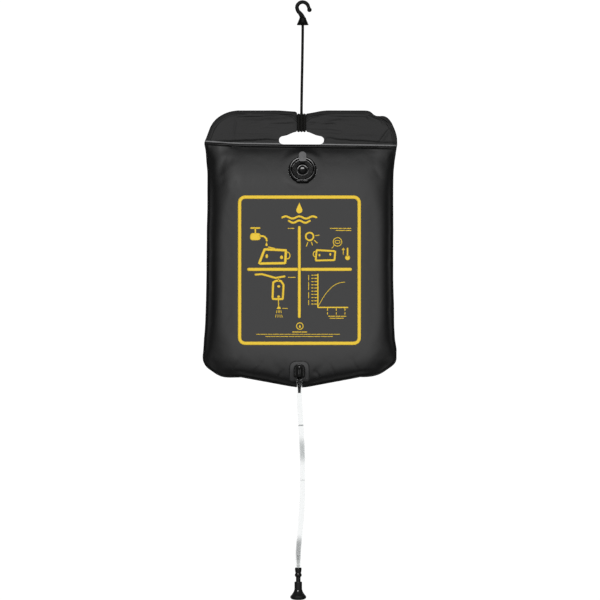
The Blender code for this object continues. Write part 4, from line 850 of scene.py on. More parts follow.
def stroke(points, width, closed=False):
    """A line of ink through points of the frame, of a width in pixels, with round ends."""
    width *= PIXEL
    line = resample([on_bag(*p) for p in points] + ([on_bag(*points[0])] if closed else []), 0.0022)
    if closed:
        line = line[:-1]
    ahead = np.roll(line, -1, axis=0) - np.roll(line, 1, axis=0)
    if not closed:
        ahead[0], ahead[-1] = line[1] - line[0], line[-1] - line[-2]
    ahead /= np.maximum(np.linalg.norm(ahead, axis=1), 1e-9)[:, None]
    across = np.stack([ahead[:, 1], -ahead[:, 0]], axis=1)
    columns = max(2, math.ceil(width / 0.0024) + 1)
    start = len(ink_places)
    offsets = np.linspace(-width / 2, width / 2, columns)
    for place, side in zip(line, across):
        ink_places.extend(tuple(place + side * offset) for offset in offsets)
    count = len(line)
    for i in range(count if closed else count - 1):
        a, b = start + i * columns, start + (i + 1) % count * columns
        ink_faces.extend([a + k, a + k + 1, b + k + 1, b + k] for k in range(columns - 1))
    if closed or width < 0.001:
        return
    for end, way in ((0, -1), (count - 1, 1)):
        row = [start + end * columns + k for k in range(columns)]
        cap = len(ink_places)
        turns = np.linspace(0, math.pi, 7)[1:-1]
        ink_places.extend(tuple(line[end] + width / 2 * (across[end] * math.cos(t)
                                                         + way * ahead[end] * math.sin(t))) for t in turns)
        arc_points = list(range(cap, cap + len(turns)))
        ink_faces.append(row + arc_points if way > 0 else (row + arc_points)[::-1])


def blob(points):
    """A filled shape of ink inside a closed line of frame points."""
    edge = np.array([on_bag(*p) for p in points])
    middle = edge.mean(axis=0)
    start, rings = len(ink_places), max(2, round(np.linalg.norm(edge - middle, axis=1).max() / 0.0025))
    count = len(edge)
    for row in range(rings, 0, -1):
        ink_places.extend(tuple(middle + (p - middle) * row / rings) for p in edge)
    ink_places.append(tuple(middle))
    outwards = np.cross(edge[1] - edge[0], middle - edge[0]) > 0
    for row in range(rings):
        for k in range(count):
            a, b = start + row * count + k, start + row * count + (k + 1) % count
            face = [a, b, b + count, a + count] if row < rings - 1 else [a, b, start + rings * count]
            ink_faces.append(face if outwards else face[::-1])


def bow(x, y, wide, tall, start, end, steps):
    """Points on a bow from one angle to another, in degrees."""
    return [(x + wide * math.cos(math.radians(t)), y - tall * math.sin(math.radians(t)))
            for t in np.linspace(start, end, steps)]


def ring(x, y, r, width, steps=20):
    stroke(bow(x, y, r, r, 0, 340, steps), width, closed=True)


def dot(x, y, wide, tall, steps=14):
    blob(bow(x, y, wide, tall, 0, 342, steps))


def rounded(x0, y0, x1, y1, r):
    """A rectangle with round corners."""
    corners = ((x1 - r, y0 + r, 90), (x0 + r, y0 + r, 180), (x0 + r, y1 - r, 270), (x1 - r, y1 - r, 360))
    return [p for x, y, turn in corners for p in bow(x, y, r, r, turn - 90, turn, 7)]


def drop(x, y, size):
    """A water drop: a round foot and a pointed top."""
    return bow(x, y, size, size, 150, 390, 15) + [(x, y - 2.5 * size)]


def words(x, y, lengths, gap=1.0, height=0.8, right=None):
    """Short bars in place of a line of words."""
    if right is not None:
        x = right - sum(lengths) - gap * (len(lengths) - 1)
    for length in lengths:
        stroke([(x, y), (x + length, y)], height)
        x += length + gap


# %% Frame, cross and emblem
stroke(rounded(239.7, 197.3, 359.1, 343.2, 5.4), 3.3, closed=True)
stroke([(299.3, 227.4), (299.3, 316.7)], 2.8)
for left, right in ((248.8, 296.6), (302.2, 350.4)):
    stroke([(left, 269.4), (right, 269.4)], 3.1)
blob(drop(299.3, 210.4, 3.1))
for y, half, waves in ((217.6, 17.0, 2.5), (221.8, 10.5, 1.75)):
    stroke([(299.3 + half * t, y - 1.15 * math.cos(math.pi * waves * t))
            for t in np.linspace(-1, 1, 40)], 2.0)

# %% The four drawings
def lying_bag(x, y, w, h, lean, thick):
    """A filled bag on the ground; lean is the slant of its left side."""
    stroke([(x + lean, y), (x + w, y + 1.0), (x + w - 0.8, y + h - 0.4), (x, y + h)], thick, closed=True)


# filling: a tap, a drop and the bag with its cap open
blob(rounded(250.2, 233.2, 260.6, 240.4, 2.6))
stroke([(255.4, 233.0), (255.4, 228.6)], 1.5)
stroke([(251.2, 228.2), (259.6, 228.2)], 1.7)
stroke([(260.0, 236.0), (264.0, 236.4), (266.4, 238.6), (266.8, 240.8)], 1.9)
blob(drop(266.6, 245.0, 1.15))
lying_bag(259.2, 249.4, 26.8, 14.2, 5.4, 2.5)
stroke([(268.6, 247.2), (275.0, 248.6)], 1.2)
stroke(bow(287.4, 255.6, 2.6, 3.4, -100, 100, 12), 1.1)
dot(266.8, 256.2, 1.3, 2.1)
dot(281.6, 257.4, 1.6, 1.9)
words(288.2, 228.5, (1.2, 3.6))
# warming: the sun, the bag, and a thermometer with an arrow
ring(309.6, 236.6, 3.9, 1.7, 18)
for turn, near, far in ((8, 6.2, 9.6), (-40, 6.2, 10.0), (-72, 6.0, 9.0), (-108, 6.2, 10.2)):
    out = (math.cos(math.radians(turn)), -math.sin(math.radians(turn)))
    stroke([(309.6 + reach * out[0], 236.6 + reach * out[1]) for reach in (near, far)], 0.95)
lying_bag(315.6, 250.2, 19.6, 10.4, 1.0, 1.9)
stroke(bow(315.2, 254.2, 2.0, 2.8, 90, 270, 10), 0.95)
dot(319.4, 255.2, 0.9, 1.4, 12)
dot(330.2, 254.4, 1.0, 1.5, 12)
ring(337.4, 242.0, 4.3, 0.8)
stroke(rounded(334.9, 240.6, 339.9, 243.4, 1.3), 0.7, closed=True)
stroke([(334.2, 245.4), (331.8, 248.2)], 0.7)
stroke([(347.4, 248.6), (347.4, 256.0)], 1.7)
dot(347.4, 257.8, 2.5, 2.5, 16)
stroke([(343.2, 254.6), (343.2, 248.4)], 0.75)
stroke([(342.0, 250.0), (343.2, 248.0), (344.4, 250.0)], 0.75)
words(0, 228.5, (1.2, 5.4, 3.4, 2.6, 4.0), right=350.8)
words(0, 230.6, (8.6, 5.2), right=350.8)
# showering: a branch, the bag that hangs from it, the head and its spray
stroke([(255.6, 274.6), (262.0, 274.2), (268.6, 276.0), (275.6, 278.0), (284.6, 276.4)], 2.0)
stroke([(278.6, 278.0), (278.6, 281.6)], 1.0)
stroke([(273.2, 282.4), (276.6, 280.6), (281.0, 281.0), (283.6, 285.0), (282.8, 299.0), (272.6, 299.0)],
       2.1, closed=True)
dot(278.8, 286.4, 1.5, 1.3)
dot(278.6, 296.6, 1.4, 1.2)
stroke([(278.6, 300.4), (278.5, 304.0), (278.9, 307.0)], 1.0)
blob([(277.6, 306.8), (276.8, 309.0), (281.0, 309.0), (280.2, 306.8)][::-1])
for start, foot in ((276.9, 275.4), (278.4, 277.8), (279.6, 280.2), (281.0, 282.4)):
    for part in (0.0, 0.55):
        stroke([(start + (foot - start) * t, 310.4 + 8 * t) for t in (part, part + 0.3)], 0.6)
stroke([(282.6, 308.4), (287.6, 308.4)], 0.6)
words(288.2, 277.4, (1.2, 4.8))
# warmth over time: two axes with marks and a curve
stroke([(317.8, 274.4), (317.8, 307.4), (347.6, 307.4)], 1.3)
for k in range(10):
    stroke([(316.8, 275.2 + 3.2 * k), (314.6, 275.2 + 3.2 * k)], 0.9)
    words(311.6, 275.2 + 3.2 * k, (1.6,), height=0.85)
stroke([(318.6 + 26.0 * t, 305.6 - 23.4 * (1 - (1 - t) ** 2.2)) for t in np.linspace(0, 1, 24)], 0.6)
for x in (327.4, 336.2, 344.8):
    stroke([(x, 308.4), (x, 310.4)], 0.9)
    stroke([(x, 312.4), (x, 314.2)], 0.8)
for y, (x0, lengths) in ((316.2, (328.4, (6.4, 4.2, 5.0))), (318.2, (330.0, (5.0, 7.4)))):
    words(x0, y, lengths)
for top, length in ((275.4, 4.8), (282.4, 7.2), (292.4, 5.6), (300.4, 4.32)):
    stroke([(308.6, top), (308.6, top + length)], 0.75)
# the tip: a small ring and two lines of bars
ring(299.8, 326.0, 3.3, 0.9)
blob(drop(299.8, 326.8, 0.95))
words(292.6, 331.9, (8.4, 4.6), height=0.95)
words(256.6, 334.2, (3.4, 6.4, 4.0, 5.8, 4.2, 6.0, 7.4, 3.2, 6.6, 4.6, 3.8, 6.8, 4.4, 5.2), 0.85, 0.6)
words(265.8, 336.4, (4.6, 4.2, 3.4, 7.6, 5.2, 6.4, 3.2, 7.0, 6.0, 5.6, 5.0), 0.85, 0.6)

# %% Lay the ink on the film
INK_LIFT, INK_WALL = 0.00012, 0.00006
ink = laid("yellow_print", ink_places, ink_faces, INK_LIFT, INK_WALL, -0.03)
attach(ink, "bag")
print("print:", len(ink.data.polygons), "faces")

# %% [markdown]
# ## Moulded pieces
# The filler valve, the outlet's elbow and the shower head are turned or block-like mouldings, so two
# helpers make them. One starts from a circle and extrudes it from each radius and height of a
# profile to the next, as a lathe would. The other starts from a cube and rounds its upright edges.
# Parts of one moulding are fused, its sharp edges are bevelled, and it is moved to its CAD place.

# %% Turning and blocks
def turned(name, profile, hollow=False, sides=72):
    """A turned shape from radii and heights in millimetres; a hollow one ends where it began."""
    bpy.ops.object.select_all(action="DESELECT")
    radius, height = profile[0]
    filled_in = "NOTHING" if hollow else "NGON"
    bpy.ops.mesh.primitive_circle_add(vertices=sides, radius=radius / 1000, fill_type=filled_in)
    made = bpy.context.object
    made.name = made.data.name = name
    bpy.ops.object.mode_set(mode="EDIT")
    bpy.ops.mesh.select_all(action="SELECT")
    bpy.ops.transform.translate(value=(0.0, 0.0, height / 1000))
    for following, level in profile[1:] + (profile[:1] if hollow else []):
        bpy.ops.mesh.extrude_region_move()
        wider = following / radius
        bpy.ops.transform.resize(value=(wider, wider, 1.0), center_override=(0.0, 0.0, 0.0))
        bpy.ops.transform.translate(value=(0.0, 0.0, (level - height) / 1000))
        radius, height = following, level
    bpy.ops.mesh.select_all(action="SELECT")
    bpy.ops.mesh.remove_doubles(threshold=1e-6)
    bpy.ops.mesh.normals_make_consistent(inside=False)
    bpy.ops.object.mode_set(mode="OBJECT")
    return made


def block(name, size, place, upper=0.0, lower=0.0):
    """A block of a size at a place in millimetres, with rounded corners at its upper and lower end."""
    bpy.ops.object.select_all(action="DESELECT")
    bpy.ops.mesh.primitive_cube_add(size=1.0)
    made = bpy.context.object
    made.name = made.data.name = name
    bpy.ops.object.mode_set(mode="EDIT")
    bpy.ops.mesh.select_mode(type="EDGE")
    bpy.ops.mesh.select_all(action="SELECT")
    bpy.ops.transform.resize(value=[side / 1000 for side in size])
    bpy.ops.transform.translate(value=[part / 1000 for part in place])
    for corner, way in ((upper, 1), (lower, -1)):
        if not corner:
            continue
        bpy.ops.mesh.select_all(action="DESELECT")
        bpy.ops.object.mode_set(mode="OBJECT")
        for edge in made.data.edges:
            a, b = (made.data.vertices[v].co for v in edge.vertices)
            upright = abs(a.z - b.z) > size[2] / 2000
            edge.select = upright and way * (a.y + b.y - 2 * place[1] / 1000) > 0.9 * size[1] / 1000
        bpy.ops.object.mode_set(mode="EDIT")
        bpy.ops.mesh.bevel(offset=corner / 1000, offset_type="OFFSET", segments=9, affect="EDGES")
    bpy.ops.object.mode_set(mode="OBJECT")
    return made


def fuse(piece, *others):
    """Joins overlapping solids into one."""
    for other in others:
        union = piece.modifiers.new("fuse", "BOOLEAN")
        union.operation, union.solver, union.object = "UNION", "EXACT", other
        apply_all(piece)
        bpy.data.objects.remove(other)
    return piece


def finish_moulding(piece, place, width, angle=32, segments=2):
    """Bevels a moulding's edges, shades it smooth between them and moves its points to their place."""
    if width:
        edges = piece.modifiers.new("edges", "BEVEL")
        edges.width, edges.segments, edges.limit_method = width / 1000, segments, "ANGLE"
        edges.angle_limit = math.radians(angle)
        edges.use_clamp_overlap = True
        apply_all(piece)
    pick(piece)
    bpy.ops.object.shade_smooth_by_angle(angle=math.radians(38))
    piece.data.transform(place)
    bpy.ops.object.select_all(action="DESELECT")
    print(piece.name, len(piece.data.polygons), "faces")
    return piece


# %% The filler valve
# Its own axes: x across, y up along the slope of the film, z out of the film.
FILLER_UP, FILLER_OUT = Vector((0.0, 0.3471, 0.9378)), Vector((0.0, -0.9378, 0.3471))
FILLER_TILT = Matrix((Vector((1.0, 0.0, 0.0)), FILLER_UP, FILLER_OUT)).transposed().to_4x4()
FILLER_PLACE = Matrix.Translation((-0.0004, -0.026089, FILLER_Z)) @ FILLER_TILT

valve_ring = turned("filler_ring", [
    (15.5, -12.0), (17.5, -12.0), (17.5, -2.6), (34.0, -2.6), (34.5, -2.1), (34.0, -1.7), (29.2, -1.7),
    (29.2, 1.6), (29.0, 3.0), (28.4, 4.1), (27.4, 4.8), (26.2, 5.2), (25.0, 5.45), (24.2, 5.5),
    (23.5, 5.2), (23.0, 4.2), (22.7, 2.8), (22.6, 1.0), (15.5, 1.0)], True)
foot = block("valve_foot", (25.0, 7.0, 3.8), (0.0, -25.7, 1.6), 0.0, 2.6)
knuckles = []
for x, long in ((-8.6, 8.4), (7.2, 8.6)):
    half = long / 2
    knuckle = turned("knuckle", [(1.2, -half), (2.0, -half + 0.5), (2.3, -half + 1.3), (2.3, half - 1.3),
                                 (2.0, half - 0.5), (1.2, half)], sides=24)
    across = Matrix.Rotation(math.radians(90), 4, "Y")
    knuckle.data.transform(Matrix.Translation((x / 1000, -0.0264, 0.0040)) @ across)
    knuckles.append(knuckle)
fuse(valve_ring, foot, *knuckles)
finish_moulding(valve_ring, FILLER_PLACE, 0.25)
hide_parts("filler_neck")
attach(valve_ring, "bag")

# %% The filler's cap and its grey tab
cap = turned("filler_lid", [
    (0.6, 4.6), (3.0, 4.45), (5.2, 4.0), (7.0, 3.25), (8.2, 2.3), (8.9, 1.1), (9.4, 0.8), (12.2, 0.8),
    (12.5, 1.2), (12.6, 3.75), (12.85, 4.0), (13.3, 4.0), (14.0, 4.0), (20.6, 4.0), (21.2, 4.0),
    (21.6, 3.9), (22.0, 3.5), (22.1, 3.0), (22.1, 1.4), (15.0, 1.3), (14.9, -5.2), (14.4, -6.0),
    (13.2, -6.0), (13.0, -1.0), (0.6, -1.0)])
neck_of_tab = block("tab_root", (11.0, 9.0, 2.2), (0.0, 18.2, 4.5), 1.0, 1.0)
fuse(cap, neck_of_tab)
tab = block("pull_tab", (15.4, 21.4, 1.7), (0.0, 27.6, 6.6), 7.4, 3.2)
finish_moulding(cap, FILLER_PLACE, 0.12)
finish_moulding(tab, FILLER_PLACE, 0.45, segments=3)
tab.parent = cap
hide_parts("filler_cap")
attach(cap, "cap")

# %% The cap's strap
strap = block("cap_hinge_strap", (6.2, 9.4, 0.9), (0.0, -22.6, 4.9), 0.6, 0.6)
pick(strap)
bpy.ops.object.mode_set(mode="EDIT")
bpy.ops.mesh.select_all(action="SELECT")
bpy.ops.mesh.subdivide(number_cuts=5)
bpy.ops.object.mode_set(mode="OBJECT")
finish_moulding(strap, FILLER_PLACE, 0.0)
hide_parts("cap_strap")
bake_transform(strap)

# %% The outlet's elbow
# Its own axes: x across, y up, z out towards the viewer, from the middle of the inlet.
OUTLET_PLACE = Matrix.Translation((SPIGOT_X, HOSE_Y, -0.7572)) @ Matrix.Rotation(math.radians(90), 4, "X")
hood = block("outlet_hood", (23.6, 28.8, 9.0), (0.0, -1.8, -0.2), 11.6, 4.5)
soft_rim = hood.modifiers.new("soft_rim", "BEVEL")
soft_rim.width, soft_rim.segments, soft_rim.limit_method = 0.0034, 6, "ANGLE"
soft_rim.angle_limit = math.radians(60)
apply_all(hood)
spigot = turned("spigot", [
    (0.8, 10.0), (3.2, 9.3), (5.4, 7.6), (6.8, 5.2), (7.4, 2.2), (7.4, -13.6), (7.0, -15.2), (5.6, -16.3),
    (3.7, -17.0), (3.4, -18.0), (3.4, -22.0), (3.8, -23.2), (3.5, -26.5), (3.5, -28.0), (3.8, -29.2),
    (3.5, -32.5), (3.5, -34.0), (3.8, -35.2), (3.2, -38.5), (2.7, -47.4), (2.4, -48.0), (1.8, -48.0),
    (1.8, -20.0), (0.8, -19.0)])
spigot.data.transform(Matrix.Rotation(math.radians(-90), 4, "X"))
inlet = turned("inlet", [(5.8, -15.6), (5.8, -2.0)], sides=40)
fuse(hood, spigot, inlet)
finish_moulding(hood, OUTLET_PLACE, 0.4, 40, 3)
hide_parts("outlet_elbow")
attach(hood, "bag")

# %% The shower head's valve and bell
HEAD_PLACE = Matrix.Translation((-0.0092, HOSE_Y, 0.0))
stem = turned("push_pull_stem", [
    (3.6, -1175.0), (3.6, -1169.0), (5.6, -1169.0), (5.6, -1166.4), (6.0, -1165.8), (6.5, -1166.2),
    (6.9, -1167.4), (6.9, -1171.6), (6.5, -1172.6), (6.5, -1174.4), (5.9, -1175.3), (5.9, -1177.6),
    (6.4, -1178.5), (7.1, -1179.8), (7.1, -1183.0), (6.5, -1184.2), (5.2, -1184.9), (4.8, -1186.0),
    (4.8, -1197.6), (6.0, -1198.4), (6.0, -1200.4), (4.7, -1200.9), (4.7, -1203.3), (6.0, -1203.8),
    (6.0, -1205.8), (3.4, -1207.0), (3.4, -1212.6), (2.8, -1213.1)])
finish_moulding(stem, HEAD_PLACE, 0.2)
flare = [(7.9 + 8.5 * (i / 9) ** 1.7, -1209.4 - 15.4 * i / 9) for i in range(10)]
inner = [(max(r - 1.6, 6.4), z - 0.4) for r, z in reversed(flare)]
collar = [(5.2, -1194.8), (7.0, -1194.8), (7.6, -1195.2), (7.9, -1196.2), (7.9, -1203.0)]
mouth = [(16.6, -1226.2), (16.5, -1227.8), (15.9, -1229.2), (15.4, -1229.5), (15.1, -1229.2)]
throat = [(6.4, -1198.4), (5.2, -1197.6)]
bell = turned("rose_shell", collar + flare + mouth + inner + throat, True)
finish_moulding(bell, HEAD_PLACE, 0.15)
for piece, node, rider in ((stem, "valve_stem", "shower"), (bell, "rose_bell", "rose")):
    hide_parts(node)
    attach(piece, rider)

# %% [markdown]
# ## Finishes
# Every finish is made of shader nodes, so that it keeps its size on each piece. A small class keeps
# the cells short: it starts a material with its Principled shader and has a short name for each kind
# of node that is used here. The film is nearly black and half matt, so its colour hardly shows; what
# shows is how evenly it reflects. That is why its grain, its soft waviness and its welds are bumps,
# and only small changes of roughness and colour are added for handling marks, besides a painted
# highlight of much lighter colour along the strip weld's ridge.

# %% Node helpers
def node_adder(tree):
    """A function that adds a node to this tree, sets it, joins its inputs and returns one output."""
    def add(kind, settings=None, output=0, **inputs):
        node = tree.nodes.new("ShaderNode" + kind)
        for key, value in (settings or {}).items():
            setattr(node, key, value)
        for key, value in inputs.items():
            socket = node.inputs[int(key[1:])] if key[1:].isdigit() else node.inputs[key.replace("_", " ")]
            if isinstance(value, bpy.types.NodeSocket):
                tree.links.new(value, socket)
            else:
                socket.default_value = value
        return node.outputs[output]

    return add


class Finish:
    """A material, with short names for the nodes that finishes are made of."""

    def __init__(self, name, colour, roughness, **sockets):
        self.material = bpy.data.materials.new(name)
        self.material.use_nodes = True
        self.tree = self.material.node_tree
        self.shader = self.tree.nodes["Principled BSDF"]
        self.add = node_adder(self.tree)
        self.shader.inputs["Base Color"].default_value = (*colour, 1.0)
        self.shader.inputs["Roughness"].default_value = roughness
        for socket, value in sockets.items():
            self.shader.inputs[socket.replace("_", " ")].default_value = value

    def join(self, socket, source):
        self.tree.links.new(source, self.shader.inputs[socket])

    def dress(self, *pieces):
        """Gives pieces or CAD nodes this finish."""
        for piece in pieces:
            target = piece if isinstance(piece, bpy.types.Object) else bpy.data.objects[piece]
            target.data.materials.clear()
            target.data.materials.append(self.material)

    def place(self):
        return self.add("TexCoord", {}, "Object")

    def uv(self, name):
        return self.add("UVMap", {"uv_map": name})

    def part(self, vector, axis):
        return self.add("SeparateXYZ", {}, axis, Vector=vector)

    def noise(self, place, scale, detail, roughness=0.5, distortion=0.0):
        return self.add("TexNoise", {}, 0, Vector=place, Scale=scale, Detail=detail, Roughness=roughness,
                        Distortion=distortion)

    def maths(self, operation, *values, clamp=False):
        return self.add("Math", {"operation": operation, "use_clamp": clamp},
                        **{f"_{k}": value for k, value in enumerate(values)})

    def plus(self, first, *others):
        for other in others:
            first = self.maths("ADD", first, other)
        return first

    def times(self, first, *others):
        for other in others:
            first = self.maths("MULTIPLY", first, other)
        return first

    def minus(self, first, second):
        return self.maths("SUBTRACT", first, second)

    def away(self, value, middle):
        """How far a value is from its middle, either way."""
        return self.maths("ABSOLUTE", self.minus(value, middle))

    def near(self, value, reach):
        """1 where a value is nothing, falling to 0 at its reach."""
        return self.maths("SUBTRACT", 1.0, self.maths("DIVIDE", value, reach), clamp=True)

    def ramp(self, value, low, high, at_low, at_high, shape="LINEAR"):
        return self.add("MapRange", {"interpolation_type": shape}, 0, _0=value, _1=low, _2=high, _3=at_low,
                        _4=at_high)

    def groove(self, value, middle, reach, depth):
        """A soft groove where a value passes its middle."""
        return self.ramp(self.away(value, middle), 0.0, reach, -depth, 0.0, "SMOOTHERSTEP")

    def blend(self, share, first, second):
        first, second = ((*c, 1.0) if isinstance(c, tuple) else c for c in (first, second))
        return self.add("Mix", {"data_type": "RGBA"}, 2, _0=share, _6=first, _7=second)

    def bump(self, height, strength, distance, under=None):
        """A bump, on top of another one if there is one under it."""
        below = {"Normal": under} if under else {}
        return self.add("Bump", {}, 0, Height=height, Strength=strength, Distance=distance, **below)


# %% [markdown]
# The welds of the film are drawn as bumps. Along the header's outline runs the step of its edge weld,
# and under the hand slot the strip weld is a thin ridge over a deep dark groove. The ridge's brightness
# is a painted highlight: a much lighter base colour along it. Along the chamber's edges and in its
# upper corners the film also falls off a little more than its mesh does.

# %% Film and welds
STRIP_MIDDLE, STRIP_TILT = -0.2918, -0.0135      # the strip weld's height on the flat sheet, and its slope
HEADER_END = -0.0045                             # the header ends this far above the strip weld

film = Finish("dark_film", (0.013, 0.013, 0.0135), 0.42)
cut_map, rim_map = film.uv("UVMap"), film.uv("rim")
from_edge, under_strip = film.part(rim_map, 0), film.part(rim_map, 1)
strip_line = film.minus(film.part(cut_map, 1), film.times(film.part(cut_map, 0), STRIP_TILT))
handling = film.noise(cut_map, 9.0, 4.0, 0.55)
grain = film.noise(cut_map, 1400.0, 2.0, 0.6)
waves = film.noise(cut_map, 22.0, 3.0, 0.45, 0.4)
in_header = film.maths("LESS_THAN", under_strip, HEADER_END)
in_chamber = film.minus(1.0, in_header)
weld_step = film.times(film.groove(from_edge, 0.0085, 0.0032, 0.0013), in_header)
by_rim, by_edge, by_strip = (film.near(way, reach) for way, reach in (
    (from_edge, 0.0075), (from_edge, 0.040), (under_strip, 0.062)))
rim_fall = film.times(by_rim, by_rim, -0.0055, in_chamber)
corner_fall = film.times(by_edge, by_edge, -0.0130, by_strip, in_chamber)
strip_groove = film.groove(strip_line, STRIP_MIDDLE - 0.0030, 0.0040, 0.0055)
relief = film.plus(film.times(waves, 0.0008), weld_step, rim_fall, corner_fall, strip_groove)
# painted highlight: a thin band along the strip weld's ridge, given a far lighter colour and less roughness
painted_ridge_highlight = film.ramp(film.away(strip_line, STRIP_MIDDLE + 0.0018), 0.0008, 0.0015, 0.85, 0.0)
edge_band = film.ramp(from_edge, 0.0035, 0.0075, 1.0, 0.0)
tone = film.blend(handling, (0.0036, 0.0036, 0.0038), (0.0066, 0.0066, 0.0068))
# the base colour is raised to 0.2 along the ridge as a painted highlight
film.join("Base Color", film.blend(painted_ridge_highlight, tone, (0.20, 0.20, 0.203)))
rough = film.plus(film.times(handling, 0.10), 0.32, film.times(in_header, 0.30), film.times(edge_band, 0.20))
film.join("Roughness", film.minus(rough, film.times(painted_ridge_highlight, 0.16)))
film.join("Normal", film.bump(grain, 0.10, 0.00022, film.bump(relief, 1.0, 1.0)))
film.dress(front_sheet, back_sheet)
print("film:", len(film.tree.nodes), "nodes")

# %% The ink and the patch
yellow = Finish("yellow_ink", (0.94, 0.64, 0.028), 0.50, Specular_IOR_Level=0.3)
place = yellow.place()
cover, mesh_print = yellow.noise(place, 160.0, 4.0, 0.6), yellow.noise(place, 1500.0, 2.0)
yellow.join("Base Color", yellow.blend(cover, (0.80, 0.535, 0.030), (0.90, 0.615, 0.042)))
yellow.join("Normal", yellow.bump(mesh_print, 0.15, 0.0001))
yellow.dress(ink)

patch_film = Finish("patch_film", (0.020, 0.020, 0.0205), 0.34)
grain = patch_film.noise(patch_film.place(), 1300.0, 2.0, 0.6)
from_rim = patch_film.part(patch_film.uv("rim"), 0)
stepped = patch_film.ramp(from_rim, 0.0, 0.0022, 0.0, 0.0016, "SMOOTHERSTEP")
patch_film.join("Base Color", patch_film.blend(grain, (0.028, 0.028, 0.0285), (0.040, 0.040, 0.041)))
patch_film.join("Roughness", patch_film.plus(patch_film.times(grain, 0.12), 0.30))
patch_film.join("Normal", patch_film.bump(grain, 0.12, 0.0002, patch_film.bump(stepped, 1.0, 1.0)))
patch_film.dress(patch)

# %% [markdown]
# The cord is a round braid: strands cross each other in both directions round it. Its UV map runs
# round it from 0 to 1 and along it in metres, so two sets of slanting waves, one leaning each way,
# give the plaits, whatever way the cord turns.

# %% The braid
STRANDS_ROUND, STRAND_STEP = 4.0, 0.0052

braid = Finish("black_braid", (0.006, 0.006, 0.006), 0.62, Specular_IOR_Level=0.15)
cord_map = braid.uv("UVMap")
turns = braid.times(braid.part(cord_map, 0), STRANDS_ROUND * math.tau)
climb = braid.times(braid.part(cord_map, 1), math.tau / STRAND_STEP)
plait = braid.maths("MAXIMUM", braid.maths("SINE", braid.plus(turns, climb)),
                    braid.maths("SINE", braid.minus(turns, climb)))
fibre = braid.noise(braid.place(), 3500.0, 2.0)
# painted light and shade: the strands' crests get a lighter colour and the hollows between them a darker one
lit = braid.plus(braid.times(plait, 0.5), 0.5)
braid.join("Base Color", braid.blend(lit, (0.001, 0.001, 0.001), (0.008, 0.0077, 0.0070)))
braid.join("Normal", braid.bump(fibre, 0.3, 0.0001, braid.bump(plait, 0.9, 0.0005)))
braid.dress(hanging_cord, hitch, stop_knot)

# %% [markdown]
# The hose is clear PVC. It is a real pipe with a bore, so the shader only has to refract: its rims
# go dark by themselves and its middle shows what is behind. Faint draw lines run along it, two long
# stretches carry painted dark reflections as a greyer colour, and two thin marks run round it.

# %% The clear hose
# the two long entries, at 0.150 and 0.354, are painted dark reflections; the two short ones are thin marks
HOSE_MARKS_AND_SHADE = (               # place along the hose, full and faded half length in metres, and colour
    (0.0985, 0.0007, 0.0018, (0.55, 0.56, 0.56)), (0.150, 0.004, 0.036, (0.70, 0.715, 0.715)),
    (0.212, 0.0005, 0.0018, (0.80, 0.81, 0.81)), (0.354, 0.006, 0.034, (0.61, 0.62, 0.62)))

clear = Finish("clear_hose_pvc", (0.97, 0.975, 0.975), 0.0, Transmission_Weight=1.0, IOR=1.25)
hose_map = clear.uv("UVMap")
draw_lines = clear.noise(clear.add("Mapping", {}, Vector=hose_map, Scale=(5.0, 1.2, 1.0)), 1.0, 1.0)
tint = clear.blend(draw_lines, (0.895, 0.905, 0.905), (0.970, 0.975, 0.975))
# the thin marks and the painted dark reflections are blended into the hose's colour here
for middle, core, reach, colour in HOSE_MARKS_AND_SHADE:
    mark_and_shade = clear.ramp(clear.away(clear.part(hose_map, 1), middle), core, reach, 1.0, 0.0, "SMOOTHERSTEP")
    tint = clear.blend(mark_and_shade, tint, colour)
clear.join("Base Color", tint)
clear.join("Roughness", clear.times(draw_lines, 0.02))
clear.dress(hose)

# %% [markdown]
# The mouldings are all one kind of plastic surface and differ in tone and gloss, so one table lists
# them. The black ones are glossy but reflect little: in the photograph only the lamps show in them.

# %% Plastics and rubber
def moulded(name, colour, roughness, level, spark, *pieces):
    """Moulded plastic: a fine spark-eroded texture and faint flow clouds."""
    made = Finish(name, colour, roughness, Specular_IOR_Level=level)
    place = made.place()
    clouds, spots = made.noise(place, 90.0, 3.0), made.noise(place, 2600.0, 2.0)
    darker, lighter = tuple(c * 0.85 for c in colour), tuple(min(c * 1.4 + 0.001, 1.0) for c in colour)
    made.join("Base Color", made.blend(clouds, darker, lighter))
    made.join("Roughness", made.plus(made.times(clouds, 0.10), roughness - 0.05))
    made.join("Normal", made.bump(spots, 0.02 + spark, 0.0001))
    made.dress(*pieces)


for finish in (              # name, colour, roughness, specular level, strength of the spark texture, pieces
        ("black_moulding", (0.003, 0.003, 0.003), 0.17, 0.10, 0.0, "hanging_hook", stem, bell),
        ("valve_moulding", (0.0004, 0.0004, 0.0004), 0.11, 0.04, 0.0, valve_ring, cap, strap),
        ("hood_moulding", (0.0010, 0.0010, 0.0010), 0.18, 0.03, 0.0, hood),
        ("satin_moulding", (0.005, 0.005, 0.005), 0.30, 0.12, 0.12, "rose_plate"),
        ("grey_tab", (0.120, 0.120, 0.122), 0.42, 0.3, 0.06, tab),
        ("pale_insert", (0.70, 0.71, 0.70), 0.35, 0.5, 0.06, "hose_tail"),
        ("seal_rubber", (0.010, 0.010, 0.010), 0.62, 0.3, 0.0, "stem_seal")):
    moulded(*finish)

# %% [markdown]
# ## Light and background
# The photograph is a cut-out on white. Its film is black, and what makes it grey is the reflection
# of one broad, soft light all round the camera: where the film turns away at the sides, it reflects
# the dark room and goes nearly black. So the world is a dome that is bright in front and dim to the
# sides, and its bright part reaches further up and down. Only rays from the camera, or through the
# clear hose, see plain white. The glossy black mouldings show lamps as well: a wide one overhead
# draws the arcs on the filler's ring, it and two upright ones the lights on the elbow, and one in
# front those on the shower head. Each of them lights these pieces alone. The floor is pale too, but
# it is far below the hanging bag, so it is kept out of the film's reflections.

